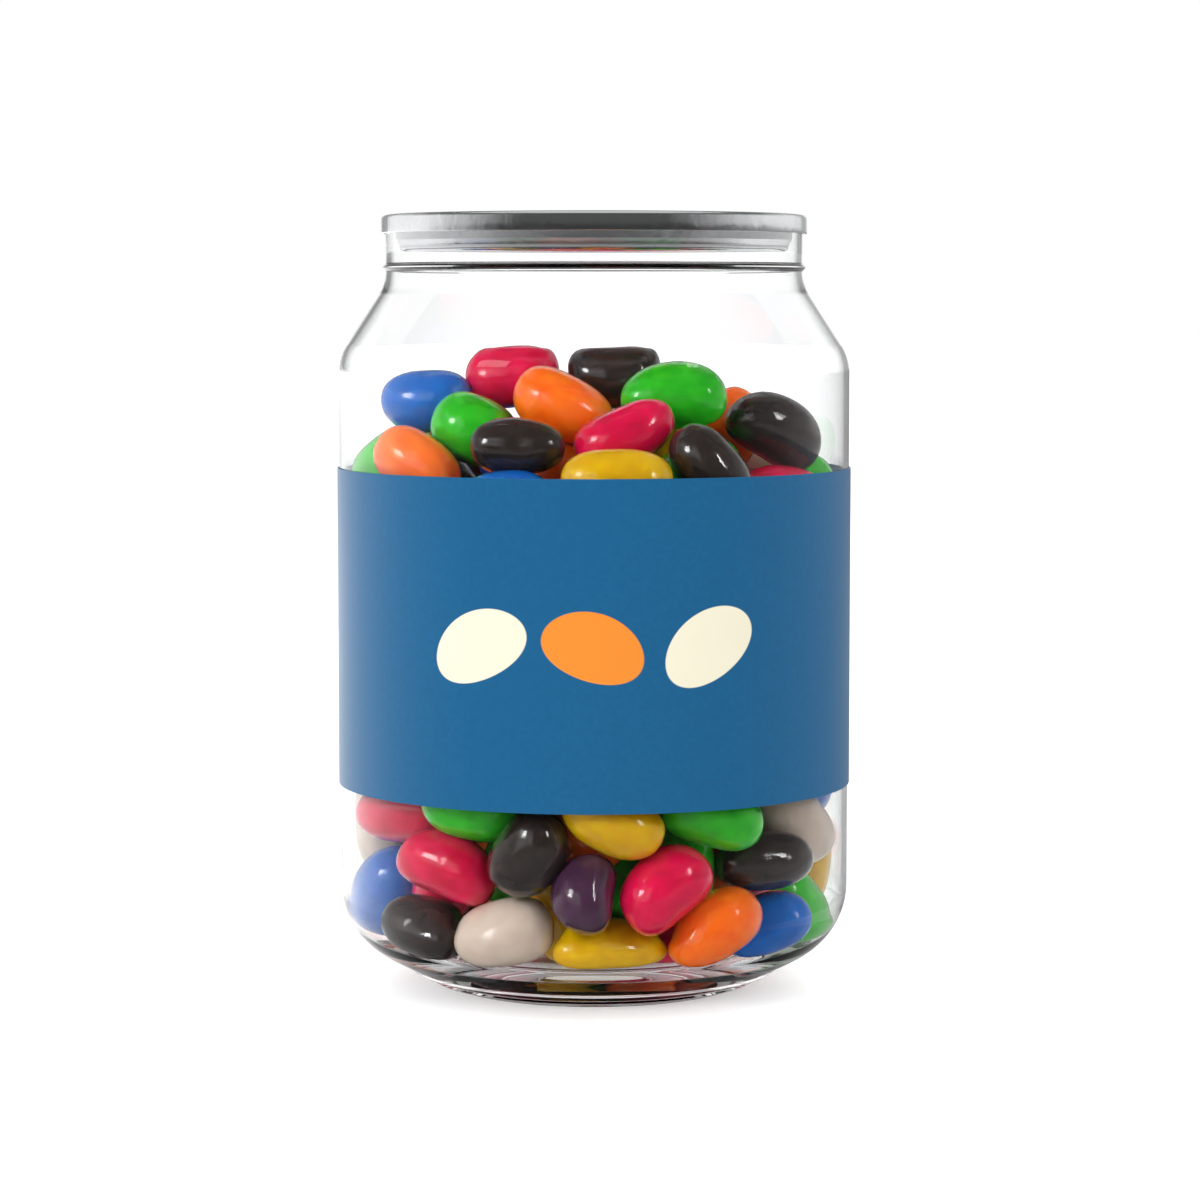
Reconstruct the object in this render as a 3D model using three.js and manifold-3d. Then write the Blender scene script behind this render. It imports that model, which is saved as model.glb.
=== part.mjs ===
// A shut clear jar of assorted jelly beans: a blown plastic jar, a seamed metal end with a pull ring,
// a wrap label and the heap of beans. Millimetres, +Z up, origin at the centre of the foot.
import * as THREE from "three";
import { mergeVertices } from "three/addons/utils/BufferGeometryUtils.js";
import Module from "manifold-3d";

const wasm = await Module();
wasm.setup();

// Jar: outer radii, heights and corner rounding
const BODY_RADIUS = 41.0;
const NECK_RADIUS = 33.44;
const WALL = 1.0;
const RIM_HEIGHT = 123.0;
const NECK_CORNER_HEIGHT = 112.94;
const NECK_ROUNDING = 7.0;
const SHOULDER_CORNER_HEIGHT = 101.24;
const SHOULDER_ROUNDING = 7.5;
const NECK_BEAD_HEIGHT = 115.0;
const NECK_BEAD_WIDTH = 0.9;
const NECK_BEAD_RISE = 0.25;

// Foot of the jar: a flat standing ring round a shallow push-up, and a wide conical heel
const STAND_OUTER_RADIUS = 24.0;
const STAND_INNER_RADIUS = 20.5;
const STAND_ROUNDING = 3.0;
const PUSH_UP_RADIUS = 16.5;
const PUSH_UP_HEIGHT = 1.6;
const HEEL_CORNER_HEIGHT = 8.6;
const HEEL_ROUNDING = 12.5;
const FLOOR_HEIGHT = 3.4;
const FLOOR_RADIUS = 24.0;
const FLOOR_ROUNDING = 5.0;
const HEEL_INNER_CORNER_HEIGHT = 10.4;

// Metal end: a seam that grips the rim, a chuck wall, a countersunk groove and the panel
const SEAM_RADIUS = 34.15;
const SEAM_TOP = 123.9;
const SEAM_BOTTOM = 120.9;
const SEAM_ROUNDING = 0.8;
const SHEET = 0.45;
const CHUCK_TOP_RADIUS = 32.1;
const GROOVE_OUTER_RADIUS = 30.8;
const GROOVE_INNER_RADIUS = 28.3;
const GROOVE_BOTTOM = 117.9;
const PANEL_RADIUS = 27.8;
const PANEL_TOP = 120.4;

// Pull ring on its rivet, with the nose near the back edge of the panel
const RIVET_Y = 18.5;
const RIVET_STEM_RADIUS = 2.2;
const RIVET_HEAD_RADIUS = 3.6;
const RIVET_HEAD = 0.6;
const RIVET_SIDES = 16;
const TAB_THICKNESS = 1.1;
const TAB_NOSE_RADIUS = 6.2;
const RING_Y = 5.0;
const RING_OUTER_RADIUS = 10.0;
const RING_INNER_RADIUS = 7.0;
const TAB_ARC_STEPS = 14;

// Wrap label
const LABEL_BOTTOM = 32.9;
const LABEL_TOP = 83.6;
const LABEL_GAP = 0.1;
const LABEL_THICKNESS = 0.25;

// Beans and their heap
const BEAN_LENGTH = 16.0;
const BEAN_THICKNESS = 10.4;
const BEAN_SIZE_SPREAD = 0.08;
const BEAN_TILT_SPREAD = 0.35;
const BEAN_FOOTPRINT = 180;
const BEAN_SIDES = 7;
const BEAN_RINGS = 5;
const BEAN_SINK = 1.6;
const BEAN_SEED = 20261;
const HEAP_CROWN = 102.6;
const HEAP_EDGE = 89.0;
const HEAP_DOME_STEPS = 5;
const CORE_SIDES = 12;

// Shared: lathe sides, arc fineness, and the gap kept between touching pieces
const SIDES = 48;
const ARC_STEPS = 3;
const GAP = 0.3;
const MERGE_DISTANCE = 1e-4;
const GOLDEN_ANGLE = Math.PI * (3 - Math.sqrt(5));

const INNER_RADIUS = BODY_RADIUS - WALL;
const NECK_INNER_RADIUS = NECK_RADIUS - WALL;
const SHOULDER_TURN = Math.atan2(BODY_RADIUS - NECK_RADIUS, NECK_CORNER_HEIGHT - SHOULDER_CORNER_HEIGHT);
const INNER_CORNER_DROP = WALL * Math.tan(SHOULDER_TURN / 2);

// Rounds the corners [radius, height, rounding] of a profile with arcs.
function roundedProfile(corners) {
  const points = [];
  corners.forEach(([radius, height, rounding = 0], index) => {
    const corner = new THREE.Vector2(radius, height);
    if (rounding === 0) {
      points.push(corner);
      return;
    }
    const back = new THREE.Vector2(...corners[index - 1]).sub(corner).normalize();
    const ahead = new THREE.Vector2(...corners[index + 1]).sub(corner).normalize();
    const half = Math.acos(back.dot(ahead)) / 2;
    const start = corner.clone().addScaledVector(back, rounding / Math.tan(half));
    const bisector = back.clone().add(ahead).normalize();
    const centre = corner.clone().addScaledVector(bisector, rounding / Math.sin(half));
    const turn = Math.sign(ahead.cross(back)) * (Math.PI - 2 * half);
    for (let step = 0; step <= ARC_STEPS; step += 1) {
      points.push(start.clone().rotateAround(centre, (turn * step) / ARC_STEPS));
    }
  });
  return points;
}

// Moves an open line of corners to its left by a distance, keeping concentric rounding.
function insetCorners(corners, distance) {
  const places = corners.map(([radius, height]) => new THREE.Vector2(radius, height));
  const leftOf = (from, to) => {
    const run = to.clone().sub(from).normalize();
    return new THREE.Vector2(-run.y, run.x);
  };
  return places.map((place, index) => {
    const last = places.length - 1;
    const before = index > 0 ? leftOf(places[index - 1], place) : leftOf(place, places[1]);
    const after = index < last ? leftOf(place, places[index + 1]) : before;
    const shift = before.clone().add(after).multiplyScalar(distance / (1 + before.dot(after)));
    const rounding = Math.max((corners[index][2] ?? 0) - distance, 0);
    return [place.x + shift.x, place.y + shift.y, rounding];
  });
}

// Turns a profile round the +Z axis.
function lathe(profile, sides = SIDES) {
  return new THREE.LatheGeometry(profile, sides).rotateX(Math.PI / 2);
}

// A closed geometry as a solid for joining and cutting.
function solidOf(geometry) {
  const bare = geometry.clone();
  bare.deleteAttribute("normal");
  bare.deleteAttribute("uv");
  const merged = mergeVertices(bare, MERGE_DISTANCE);
  const triangles = [];
  for (let start = 0; start < merged.index.count; start += 3) {
    const corners = [0, 1, 2].map((offset) => merged.index.getX(start + offset));
    if (new Set(corners).size === 3) {
      triangles.push(...corners);
    }
  }
  return new wasm.Manifold(
    new wasm.Mesh({
      numProp: 3,
      vertProperties: new Float32Array(merged.attributes.position.array),
      triVerts: new Uint32Array(triangles),
    }),
  );
}

// A joined or cut solid as a geometry again.
function geometryOf(solid) {
  const { vertProperties, triVerts } = solid.getMesh();
  const geometry = new THREE.BufferGeometry();
  geometry.setAttribute("position", new THREE.BufferAttribute(vertProperties, 3));
  geometry.setIndex(new THREE.BufferAttribute(triVerts, 1));
  geometry.computeVertexNormals();
  return geometry;
}

// Repeatable random numbers from 0 to 1.
function seededDraw(seed) {
  let state = seed;
  return () => {
    state = (Math.imul(state, 1664525) + 1013904223) >>> 0;
    return state / 2 ** 32;
  };
}

// Inside of the jar, from the middle of the floor outwards and up the wall to a given height.
function insideCorners(topHeight) {
  return [
    [0, FLOOR_HEIGHT],
    [FLOOR_RADIUS, FLOOR_HEIGHT, FLOOR_ROUNDING],
    [INNER_RADIUS, HEEL_INNER_CORNER_HEIGHT, HEEL_ROUNDING],
    [INNER_RADIUS, topHeight],
  ];
}

function jarGeometry() {
  const beadTop = NECK_BEAD_HEIGHT + NECK_BEAD_WIDTH;
  const outside = [
    [0, PUSH_UP_HEIGHT],
    [PUSH_UP_RADIUS, PUSH_UP_HEIGHT],
    [STAND_INNER_RADIUS, 0],
    [STAND_OUTER_RADIUS, 0, STAND_ROUNDING],
    [BODY_RADIUS, HEEL_CORNER_HEIGHT, HEEL_ROUNDING],
    [BODY_RADIUS, SHOULDER_CORNER_HEIGHT, SHOULDER_ROUNDING],
    [NECK_RADIUS, NECK_CORNER_HEIGHT, NECK_ROUNDING],
    [NECK_RADIUS, NECK_BEAD_HEIGHT],
    [NECK_RADIUS + NECK_BEAD_RISE, NECK_BEAD_HEIGHT + NECK_BEAD_RISE],
    [NECK_RADIUS + NECK_BEAD_RISE, beadTop - NECK_BEAD_RISE],
    [NECK_RADIUS, beadTop],
    [NECK_RADIUS, RIM_HEIGHT],
  ];
  const inside = [
    [0, FLOOR_HEIGHT],
    ...insideCorners(SHOULDER_CORNER_HEIGHT).slice(1, 3),
    [INNER_RADIUS, SHOULDER_CORNER_HEIGHT - INNER_CORNER_DROP, SHOULDER_ROUNDING - WALL],
    [NECK_INNER_RADIUS, NECK_CORNER_HEIGHT - INNER_CORNER_DROP, NECK_ROUNDING + WALL],
    [NECK_INNER_RADIUS, RIM_HEIGHT],
  ];
  return lathe([...roundedProfile(outside), ...roundedProfile(inside).reverse()]);
}

// Metal end pressed from sheet, with the rivet that holds the pull ring.
function endGeometry() {
  const channelTop = SEAM_TOP - SHEET;
  const skirtInner = NECK_RADIUS + GAP;
  const profile = roundedProfile([
    [0, PANEL_TOP - SHEET],
    [PANEL_RADIUS, PANEL_TOP - SHEET],
    [GROOVE_INNER_RADIUS, GROOVE_BOTTOM],
    [GROOVE_OUTER_RADIUS, GROOVE_BOTTOM],
    [CHUCK_TOP_RADIUS, channelTop],
    [skirtInner, channelTop],
    [skirtInner, SEAM_BOTTOM],
    [SEAM_RADIUS, SEAM_BOTTOM],
    [SEAM_RADIUS, SEAM_TOP, SEAM_ROUNDING],
    [CHUCK_TOP_RADIUS - SHEET, SEAM_TOP, SEAM_ROUNDING],
    [GROOVE_OUTER_RADIUS - SHEET, GROOVE_BOTTOM + SHEET],
    [GROOVE_INNER_RADIUS + SHEET, GROOVE_BOTTOM + SHEET],
    [PANEL_RADIUS + SHEET, PANEL_TOP],
    [0, PANEL_TOP],
  ]);
  const headBottom = PANEL_TOP + GAP + TAB_THICKNESS + GAP;
  const rivetProfile = [
    [0, PANEL_TOP - SHEET / 2],
    [RIVET_STEM_RADIUS, PANEL_TOP - SHEET / 2],
    [RIVET_STEM_RADIUS, headBottom],
    [RIVET_HEAD_RADIUS, headBottom],
    [RIVET_HEAD_RADIUS, headBottom + RIVET_HEAD],
    [0, headBottom + RIVET_HEAD],
  ].map(([radius, height]) => new THREE.Vector2(radius, height));
  const rivet = lathe(rivetProfile, RIVET_SIDES).translate(0, RIVET_Y, 0);
  return geometryOf(solidOf(lathe(profile)).add(solidOf(rivet)));
}

// Flat pull ring: a finger ring and a smaller round nose joined by straight flanks.
function pullRingGeometry() {
  const lean = Math.asin((RING_OUTER_RADIUS - TAB_NOSE_RADIUS) / (RIVET_Y - RING_Y));
  const outline = new THREE.Shape();
  outline.absarc(0, RING_Y, RING_OUTER_RADIUS, Math.PI - lean, 2 * Math.PI + lean, false);
  outline.absarc(0, RIVET_Y, TAB_NOSE_RADIUS, lean, Math.PI - lean, false);
  const fingerHole = new THREE.Path().absarc(0, RING_Y, RING_INNER_RADIUS, 0, 2 * Math.PI, true);
  const rivetHole = new THREE.Path().absarc(0, RIVET_Y, RIVET_STEM_RADIUS + GAP, 0, 2 * Math.PI, true);
  outline.holes.push(fingerHole, rivetHole);
  const options = { depth: TAB_THICKNESS, bevelEnabled: false, curveSegments: TAB_ARC_STEPS };
  return new THREE.ExtrudeGeometry(outline, options).translate(0, 0, PANEL_TOP + GAP);
}

function labelGeometry() {
  const inner = BODY_RADIUS + LABEL_GAP;
  const outer = inner + LABEL_THICKNESS;
  const section = [
    [inner, LABEL_BOTTOM],
    [outer, LABEL_BOTTOM],
    [outer, LABEL_TOP],
    [inner, LABEL_TOP],
    [inner, LABEL_BOTTOM],
  ];
  return lathe(section.map(([radius, height]) => new THREE.Vector2(radius, height)));
}

// Domed top of the heap, from the wall to the middle, lowered by the given depth.
function domeProfile(edgeRadius, depth) {
  const rise = HEAP_CROWN - HEAP_EDGE;
  return Array.from({ length: HEAP_DOME_STEPS + 1 }, (_, step) => {
    const share = 1 - step / HEAP_DOME_STEPS;
    return new THREE.Vector2(edgeRadius * share, HEAP_CROWN - rise * share ** 2 - depth);
  });
}

// Seats for beans, one for each footprint of a turned surface, a golden angle from one to the next.
function seatsOver(profile) {
  const bands = profile.slice(1).map((end, index) => {
    const start = profile[index];
    return { start, end, area: Math.PI * (start.x + end.x) * start.distanceTo(end) };
  });
  const total = bands.reduce((sum, band) => sum + band.area, 0);
  const count = Math.round(total / BEAN_FOOTPRINT);
  return Array.from({ length: count }, (_, index) => {
    let left = ((index + 0.5) / count) * total;
    const band = bands.find(({ area }) => {
      left -= area;
      return left <= 0;
    });
    const place = band.end.clone().lerp(band.start, -left / band.area);
    const run = band.end.clone().sub(band.start).normalize();
    return { place, run, turn: index * GOLDEN_ANGLE };
  });
}

// One low-sided bean on its seat, lying along the surface with a drawn heading, tilt and size.
function beanSolid({ place, run, turn }, draw) {
  const around = new THREE.Vector3(-Math.sin(turn), Math.cos(turn), 0);
  const outward = new THREE.Vector3(Math.cos(turn), Math.sin(turn), 0);
  const upSlope = outward.clone().multiplyScalar(run.x).setZ(run.y);
  const normal = new THREE.Vector3().crossVectors(around, upSlope);
  const heading = draw() * Math.PI;
  const tilt = (draw() - 0.5) * 2 * BEAN_TILT_SPREAD;
  const size = 1 + (draw() - 0.5) * 2 * BEAN_SIZE_SPREAD;
  const along = around.multiplyScalar(Math.cos(heading)).addScaledVector(upSlope, Math.sin(heading));
  along.addScaledVector(normal, tilt).normalize();
  const across = new THREE.Vector3().crossVectors(along, normal).normalize();
  const facing = new THREE.Vector3().crossVectors(across, along);
  const bean = new THREE.SphereGeometry(0.5, BEAN_SIDES, BEAN_RINGS);
  bean.scale(size * BEAN_THICKNESS, size * BEAN_LENGTH, size * BEAN_THICKNESS);
  const centre = outward.multiplyScalar(place.x).setZ(place.y);
  bean.applyMatrix4(new THREE.Matrix4().makeBasis(across, along, facing).setPosition(centre));
  return solidOf(bean);
}

// Heap: a plain core with the beans that show, at the floor, heel and lower wall and over the dome.
function heapGeometry() {
  const reach = BEAN_THICKNESS / 2;
  const showTop = LABEL_BOTTOM + reach;
  const seatInset = GAP + reach * (1 + BEAN_SIZE_SPREAD);
  const coreInset = seatInset + BEAN_SINK;
  const lowerSeats = seatsOver(roundedProfile(insetCorners(insideCorners(showTop), seatInset)));
  const upperSeats = seatsOver(domeProfile(INNER_RADIUS - seatInset, reach));
  const coreDome = domeProfile(INNER_RADIUS - coreInset, reach + BEAN_SINK);
  const coreWall = roundedProfile(insetCorners(insideCorners(coreDome[0].y), coreInset));
  const draw = seededDraw(BEAN_SEED);
  let heap = solidOf(lathe([...coreWall.slice(0, -1), ...coreDome], CORE_SIDES));
  for (const seat of [...lowerSeats, ...upperSeats]) {
    heap = heap.add(beanSolid(seat, draw));
  }
  const hollow = [...roundedProfile(insetCorners(insideCorners(SEAM_BOTTOM), GAP))];
  const cavity = lathe([...hollow, new THREE.Vector2(0, SEAM_BOTTOM)]);
  return geometryOf(heap.intersect(solidOf(cavity)));
}

function part(name, geometry, finish) {
  const mesh = new THREE.Mesh(geometry, new THREE.MeshStandardMaterial(finish));
  mesh.name = name;
  return mesh;
}

const clearPlastic = { color: 0xf1f5f6, roughness: 0.05, metalness: 0, transparent: true, opacity: 0.25 };
const bareMetal = { color: 0xc3c6c9, roughness: 0.3, metalness: 1 };
const labelFilm = { color: 0x266b9b, roughness: 0.45, metalness: 0 };
const sweets = { color: 0xe0455c, roughness: 0.25, metalness: 0 };

const jar = new THREE.Group();
jar.add(part("jar", jarGeometry(), clearPlastic));
jar.add(part("lid", endGeometry(), bareMetal));
jar.add(part("pull_ring", pullRingGeometry(), bareMetal));
jar.add(part("label", labelGeometry(), labelFilm));
jar.add(part("jelly_beans", heapGeometry(), sweets));

export default jar;
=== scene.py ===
"""Looks of a shut clear jar of assorted jelly beans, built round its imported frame.

Metres, +Z up, origin at the centre of the foot, -Y towards the front of the label.
"""

import logging
import math
from dataclasses import dataclass, field
from enum import Enum

import bmesh
import bpy
import numpy as np
from mathutils import Matrix, Vector


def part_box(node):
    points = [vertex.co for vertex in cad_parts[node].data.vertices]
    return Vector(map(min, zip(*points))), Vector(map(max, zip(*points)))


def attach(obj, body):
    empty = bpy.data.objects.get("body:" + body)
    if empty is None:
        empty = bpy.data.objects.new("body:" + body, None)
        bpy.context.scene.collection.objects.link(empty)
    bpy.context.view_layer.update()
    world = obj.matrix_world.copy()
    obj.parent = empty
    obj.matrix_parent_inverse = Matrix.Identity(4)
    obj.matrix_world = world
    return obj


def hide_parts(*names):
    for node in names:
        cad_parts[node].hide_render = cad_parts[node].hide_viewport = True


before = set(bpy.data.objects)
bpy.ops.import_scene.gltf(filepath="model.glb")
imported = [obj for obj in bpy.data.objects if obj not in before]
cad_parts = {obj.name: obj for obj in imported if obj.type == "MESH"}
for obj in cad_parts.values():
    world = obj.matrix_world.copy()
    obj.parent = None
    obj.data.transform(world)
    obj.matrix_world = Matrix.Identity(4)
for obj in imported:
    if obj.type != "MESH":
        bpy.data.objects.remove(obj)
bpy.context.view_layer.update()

LOG = logging.getLogger("jelly_bean_jar")

MM = 0.001
BODY = "root"
MERGE_DISTANCE = 1e-6
SMOOTH_ANGLE = math.radians(32.0)
SEED = 4127

Corner = tuple[float, float] | tuple[float, float, float]
Colour = tuple[float, float, float]
Socket = bpy.types.NodeSocket
SocketValue = float | tuple | str | Socket


def linear(red: int, green: int, blue: int) -> Colour:
    """Turn a colour as seen on screen into scene-linear light.

    Args:
        red: Red from 0 to 255.
        green: Green from 0 to 255.
        blue: Blue from 0 to 255.

    Returns:
        The linear colour.
    """
    def channel(value: float) -> float:
        """Undo the screen curve of one channel."""
        return value / 12.92 if value <= 0.04045 else ((value + 0.055) / 1.055) ** 2.4

    return channel(red / 255), channel(green / 255), channel(blue / 255)


def rgba(colour: Colour) -> tuple[float, float, float, float]:
    """Add full opacity to a colour."""
    return (*colour, 1.0)


class Graph:
    """Adds and links nodes in one shader or geometry node tree."""

    def __init__(self, tree: bpy.types.NodeTree) -> None:
        """Work in a node tree."""
        self.tree = tree

    def add(self, kind: str, inputs: dict | None = None, **settings: object) -> bpy.types.Node:
        """Add one node.

        Args:
            kind: Blender's name of the node type.
            inputs: Values or sockets by input name or index.
            **settings: Properties of the node.

        Returns:
            The new node.
        """
        node = self.tree.nodes.new(kind)
        for name, value in settings.items():
            setattr(node, name, value)
        for key, value in (inputs or {}).items():
            if isinstance(value, Socket):
                self.tree.links.new(value, node.inputs[key])
            else:
                node.inputs[key].default_value = value
        return node

    def math(self, operation: str, *values: SocketValue, clamp: bool = False) -> Socket:
        """Return the result of a Math node."""
        node = self.add("ShaderNodeMath", dict(enumerate(values)), operation=operation, use_clamp=clamp)
        return node.outputs[0]

    def vector(self, operation: str, *values: SocketValue) -> Socket:
        """Return the result of a Vector Math node, a number where the operation gives one."""
        node = self.add("ShaderNodeVectorMath", dict(enumerate(values)), operation=operation)
        return node.outputs["Value" if operation in ("DOT_PRODUCT", "LENGTH", "DISTANCE") else "Vector"]

    def scaled(self, vector: SocketValue, factor: SocketValue) -> Socket:
        """Return a vector times a number."""
        node = self.add("ShaderNodeVectorMath", {0: vector, "Scale": factor}, operation="SCALE")
        return node.outputs["Vector"]

    def split(self, vector: Socket) -> bpy.types.bpy_prop_collection:
        """Return the X, Y and Z outputs of a vector."""
        return self.add("ShaderNodeSeparateXYZ", {0: vector}).outputs

    def noise(self, vector: Socket, scale: float, detail: float = 2.0, **settings: float) -> Socket:
        """Return a noise factor from 0 to 1 over a vector."""
        inputs = {"Vector": vector, "Scale": scale, "Detail": detail}
        inputs.update({name.replace("_", " ").title(): value for name, value in settings.items()})
        return self.add("ShaderNodeTexNoise", inputs).outputs[0]

    def ranged(self, value: Socket, low: float, high: float, start: float, end: float) -> Socket:
        """Map a value from one range to another, held inside it."""
        inputs = {0: value, 1: low, 2: high, 3: start, 4: end}
        return self.add("ShaderNodeMapRange", inputs).outputs[0]

    def blend(self, factor: SocketValue, first: SocketValue, second: SocketValue) -> Socket:
        """Mix two colours."""
        node = self.add("ShaderNodeMix", data_type="RGBA")
        for index, value in ((0, factor), (6, first), (7, second)):
            if isinstance(value, Socket):
                self.tree.links.new(value, node.inputs[index])
            else:
                node.inputs[index].default_value = value
        return node.outputs[2]

    def link(self, source: Socket, target: Socket) -> None:
        """Link two sockets."""
        self.tree.links.new(source, target)


def shader(name: str, constants: dict[str, SocketValue]) -> tuple[bpy.types.Material, Graph, bpy.types.Node]:
    """Start a material on one Principled shader.

    Args:
        name: Name of the material.
        constants: The shader's own values, which are the same all over the surface.

    Returns:
        The material, its graph and the shader node.
    """
    material = bpy.data.materials.new(name)
    material.use_nodes = True
    graph = Graph(material.node_tree)
    principled = material.node_tree.nodes["Principled BSDF"]
    for key, value in constants.items():
        principled.inputs[key].default_value = value
    return material, graph, principled


def bump(graph: Graph, height: Socket, depth: float, target: bpy.types.Node) -> None:
    """Give a shader a bumped normal.

    Args:
        graph: The material's graph.
        height: Height from 0 to 1.
        depth: Depth of the bump in metres.
        target: The shader.
    """
    node = graph.add("ShaderNodeBump", {"Height": height, "Strength": 1.0, "Distance": depth})
    graph.link(node.outputs[0], target.inputs["Normal"])


def object_spot(graph: Graph) -> Socket:
    """Return the Object coordinates."""
    return graph.add("ShaderNodeTexCoord").outputs["Object"]


@dataclass(frozen=True)
class ClearPlastic:
    """Clear blown plastic, faintly wavy, that lets lamps light what is inside, with painted shade on the neck's
    bead.
    """

    tint: Colour = (0.985, 0.99, 0.992)
    ior: float = 1.5
    bead_painted_shade: Colour = (0.16, 0.16, 0.16)
    face_on_gleam: float = 0.3
    wave_size: float = 26 * MM
    wave_depth: float = 0.05 * MM

    def material(self, bead: tuple[float, float]) -> bpy.types.Material:
        """Build the material.

        Args:
            bead: Lower and upper height of the neck's bead, where the colour is darkened as painted shade in place
                of the dark line that the bead's refraction shows.

        Returns:
            The material.
        """
        constants = {
            "Transmission Weight": 1.0, "IOR": self.ior, "Roughness": 0.0,
            "Specular Tint": rgba((self.face_on_gleam,) * 3),
        }
        material, graph, glass = shader("clear_plastic", constants)
        spot = object_spot(graph)
        low, high = bead
        # Painted shade: the tint goes near black across the bead's middle, in place of the dark line that its
        # refraction shows.
        off_middle = graph.math("ABSOLUTE", graph.math("SUBTRACT", graph.split(spot)[2], (low + high) / 2))
        painted_dark_band = graph.ranged(off_middle, 0.3 * (high - low), 0.5 * (high - low), 1.0, 0.0)
        colour = graph.blend(painted_dark_band, rgba(self.tint), rgba(self.bead_painted_shade))
        graph.link(colour, glass.inputs["Base Color"])
        bump(graph, graph.noise(spot, 1 / self.wave_size, 1.0), self.wave_depth, glass)
        lamps = graph.add("ShaderNodeLightPath").outputs["Is Shadow Ray"]
        passed = graph.add("ShaderNodeBsdfTransparent", {"Color": rgba(self.tint)}).outputs[0]
        mixed = graph.add("ShaderNodeMixShader", {0: lamps, 1: glass.outputs[0], 2: passed}).outputs[0]
        graph.link(mixed, graph.tree.nodes["Material Output"].inputs["Surface"])
        return material


@dataclass(frozen=True)
class RolledMetal:
    """Bare can metal with fine rolling lines."""

    name: str
    colour: Colour
    roughness: float = 0.16
    line_pitch: float = 0.5 * MM
    line_depth: float = 0.0012 * MM
    grain: tuple[float, float, float] = (0.04, 1.0, 1.0)
    wrinkle_size: tuple[float, float] = (5.0 * MM, 9.0 * MM)
    wrinkle_depth: float = 0.0

    def material(self) -> bpy.types.Material:
        """Build the material."""
        material, graph, metal = shader(self.name, {"Metallic": 1.0})
        stretched = graph.vector("MULTIPLY", object_spot(graph), self.grain)
        lines = graph.noise(stretched, 1 / self.line_pitch, 3.0)
        spread = 0.04
        rough = graph.ranged(lines, 0.3, 0.7, self.roughness - spread, self.roughness + spread)
        graph.link(rough, metal.inputs["Roughness"])
        darker = tuple(0.86 * channel for channel in self.colour)
        graph.link(graph.blend(lines, rgba(darker), rgba(self.colour)), metal.inputs["Base Color"])
        height = graph.math("MULTIPLY", lines, self.line_depth)
        if self.wrinkle_depth:
            height = graph.math("ADD", height, self.wrinkles(graph))
        bump(graph, height, 1.0, metal)
        return material

    def wrinkles(self, graph: Graph) -> Socket:
        """Return the height of soft upright wrinkles round the axis."""
        x, y, z = graph.split(object_spot(graph))
        run, rise = self.wrinkle_size
        radius = graph.math("SQRT", graph.math("ADD", graph.math("POWER", x, 2.0), graph.math("POWER", y, 2.0)))
        way_x = graph.math("DIVIDE", graph.math("MULTIPLY", x, 34 * MM / run), radius)
        way_y = graph.math("DIVIDE", graph.math("MULTIPLY", y, 34 * MM / run), radius)
        place = graph.add("ShaderNodeCombineXYZ", {0: way_x, 1: way_y, 2: graph.math("DIVIDE", z, rise)})
        soft = graph.noise(place.outputs[0], 1.0, 2.0, distortion=0.6)
        return graph.math("MULTIPLY", soft, self.wrinkle_depth)


@dataclass(frozen=True)
class PrintedFilm:
    """Satin label film printed in plain fields: a blue ground and a row of bean shapes."""

    ground: Colour = linear(22, 100, 148)
    pale: Colour = linear(255, 248, 222)
    warm: Colour = linear(255, 150, 50)
    bean_size: tuple[float, float] = (8.0 * MM, 5.2 * MM)
    bean_pitch: float = 18.0 * MM
    edge_softness: float = 0.06 * MM

    def material(self, bottom: float, top: float) -> bpy.types.Material:
        """Build the material.

        Args:
            bottom: Height of the label's lower edge.
            top: Height of its upper edge.

        Returns:
            The material.
        """
        constants = {"Roughness": 0.3, "Specular IOR Level": 0.3}
        material, graph, film = shader("label_print", constants)
        place = graph.add("ShaderNodeUVMap", uv_map="flat").outputs[0]
        grain = graph.noise(object_spot(graph), 1 / (0.9 * MM), 3.0)
        colour = graph.blend(
            graph.ranged(grain, 0.3, 0.7, 0.0, 1.0),
            rgba(tuple(0.95 * channel for channel in self.ground)),
            rgba(tuple(1.04 * channel for channel in self.ground)),
        )
        middle = (bottom + top) / 2
        for step, ink, turn in ((-1, self.pale, 24.0), (0, self.warm, -18.0), (1, self.pale, 32.0)):
            shape = self.bean_shape(graph, place, (step * self.bean_pitch, middle), math.radians(turn))
            colour = graph.blend(shape, colour, rgba(ink))
        graph.link(colour, film.inputs["Base Color"])
        bump(graph, grain, 0.006 * MM, film)
        return material

    def filled(self, graph: Graph, distance: Socket, reach: float) -> Socket:
        """Return 1 where a distance is under a reach, with a soft edge."""
        soft = self.edge_softness
        return graph.ranged(distance, reach - soft, reach + soft, 1.0, 0.0)

    def bean_shape(self, graph: Graph, place: Socket, centre: tuple[float, float], turn: float) -> Socket:
        """Return 1 inside a plain bent oval.

        Args:
            graph: The material's graph.
            place: The label's flat coordinates.
            centre: Centre of the oval on the label.
            turn: Its heading in radians.

        Returns:
            The shape's mask.
        """
        half_length, half_width = self.bean_size
        inputs = {"Vector": place, "Location": (*centre, 0.0), "Rotation": (0.0, 0.0, turn)}
        local = graph.add("ShaderNodeMapping", inputs, vector_type="TEXTURE").outputs[0]
        along, side, _ = graph.split(local)
        bow = graph.math("MULTIPLY", graph.math("POWER", along, 2.0), 0.07 / half_length)
        ratio_along = graph.math("POWER", graph.math("DIVIDE", along, half_length), 2.0)
        bent = graph.math("DIVIDE", graph.math("ADD", side, bow), half_width)
        ratio = graph.math("SQRT", graph.math("ADD", ratio_along, graph.math("POWER", bent, 2.0)))
        return self.filled(graph, graph.math("MULTIPLY", ratio, half_width), half_width)


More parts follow.
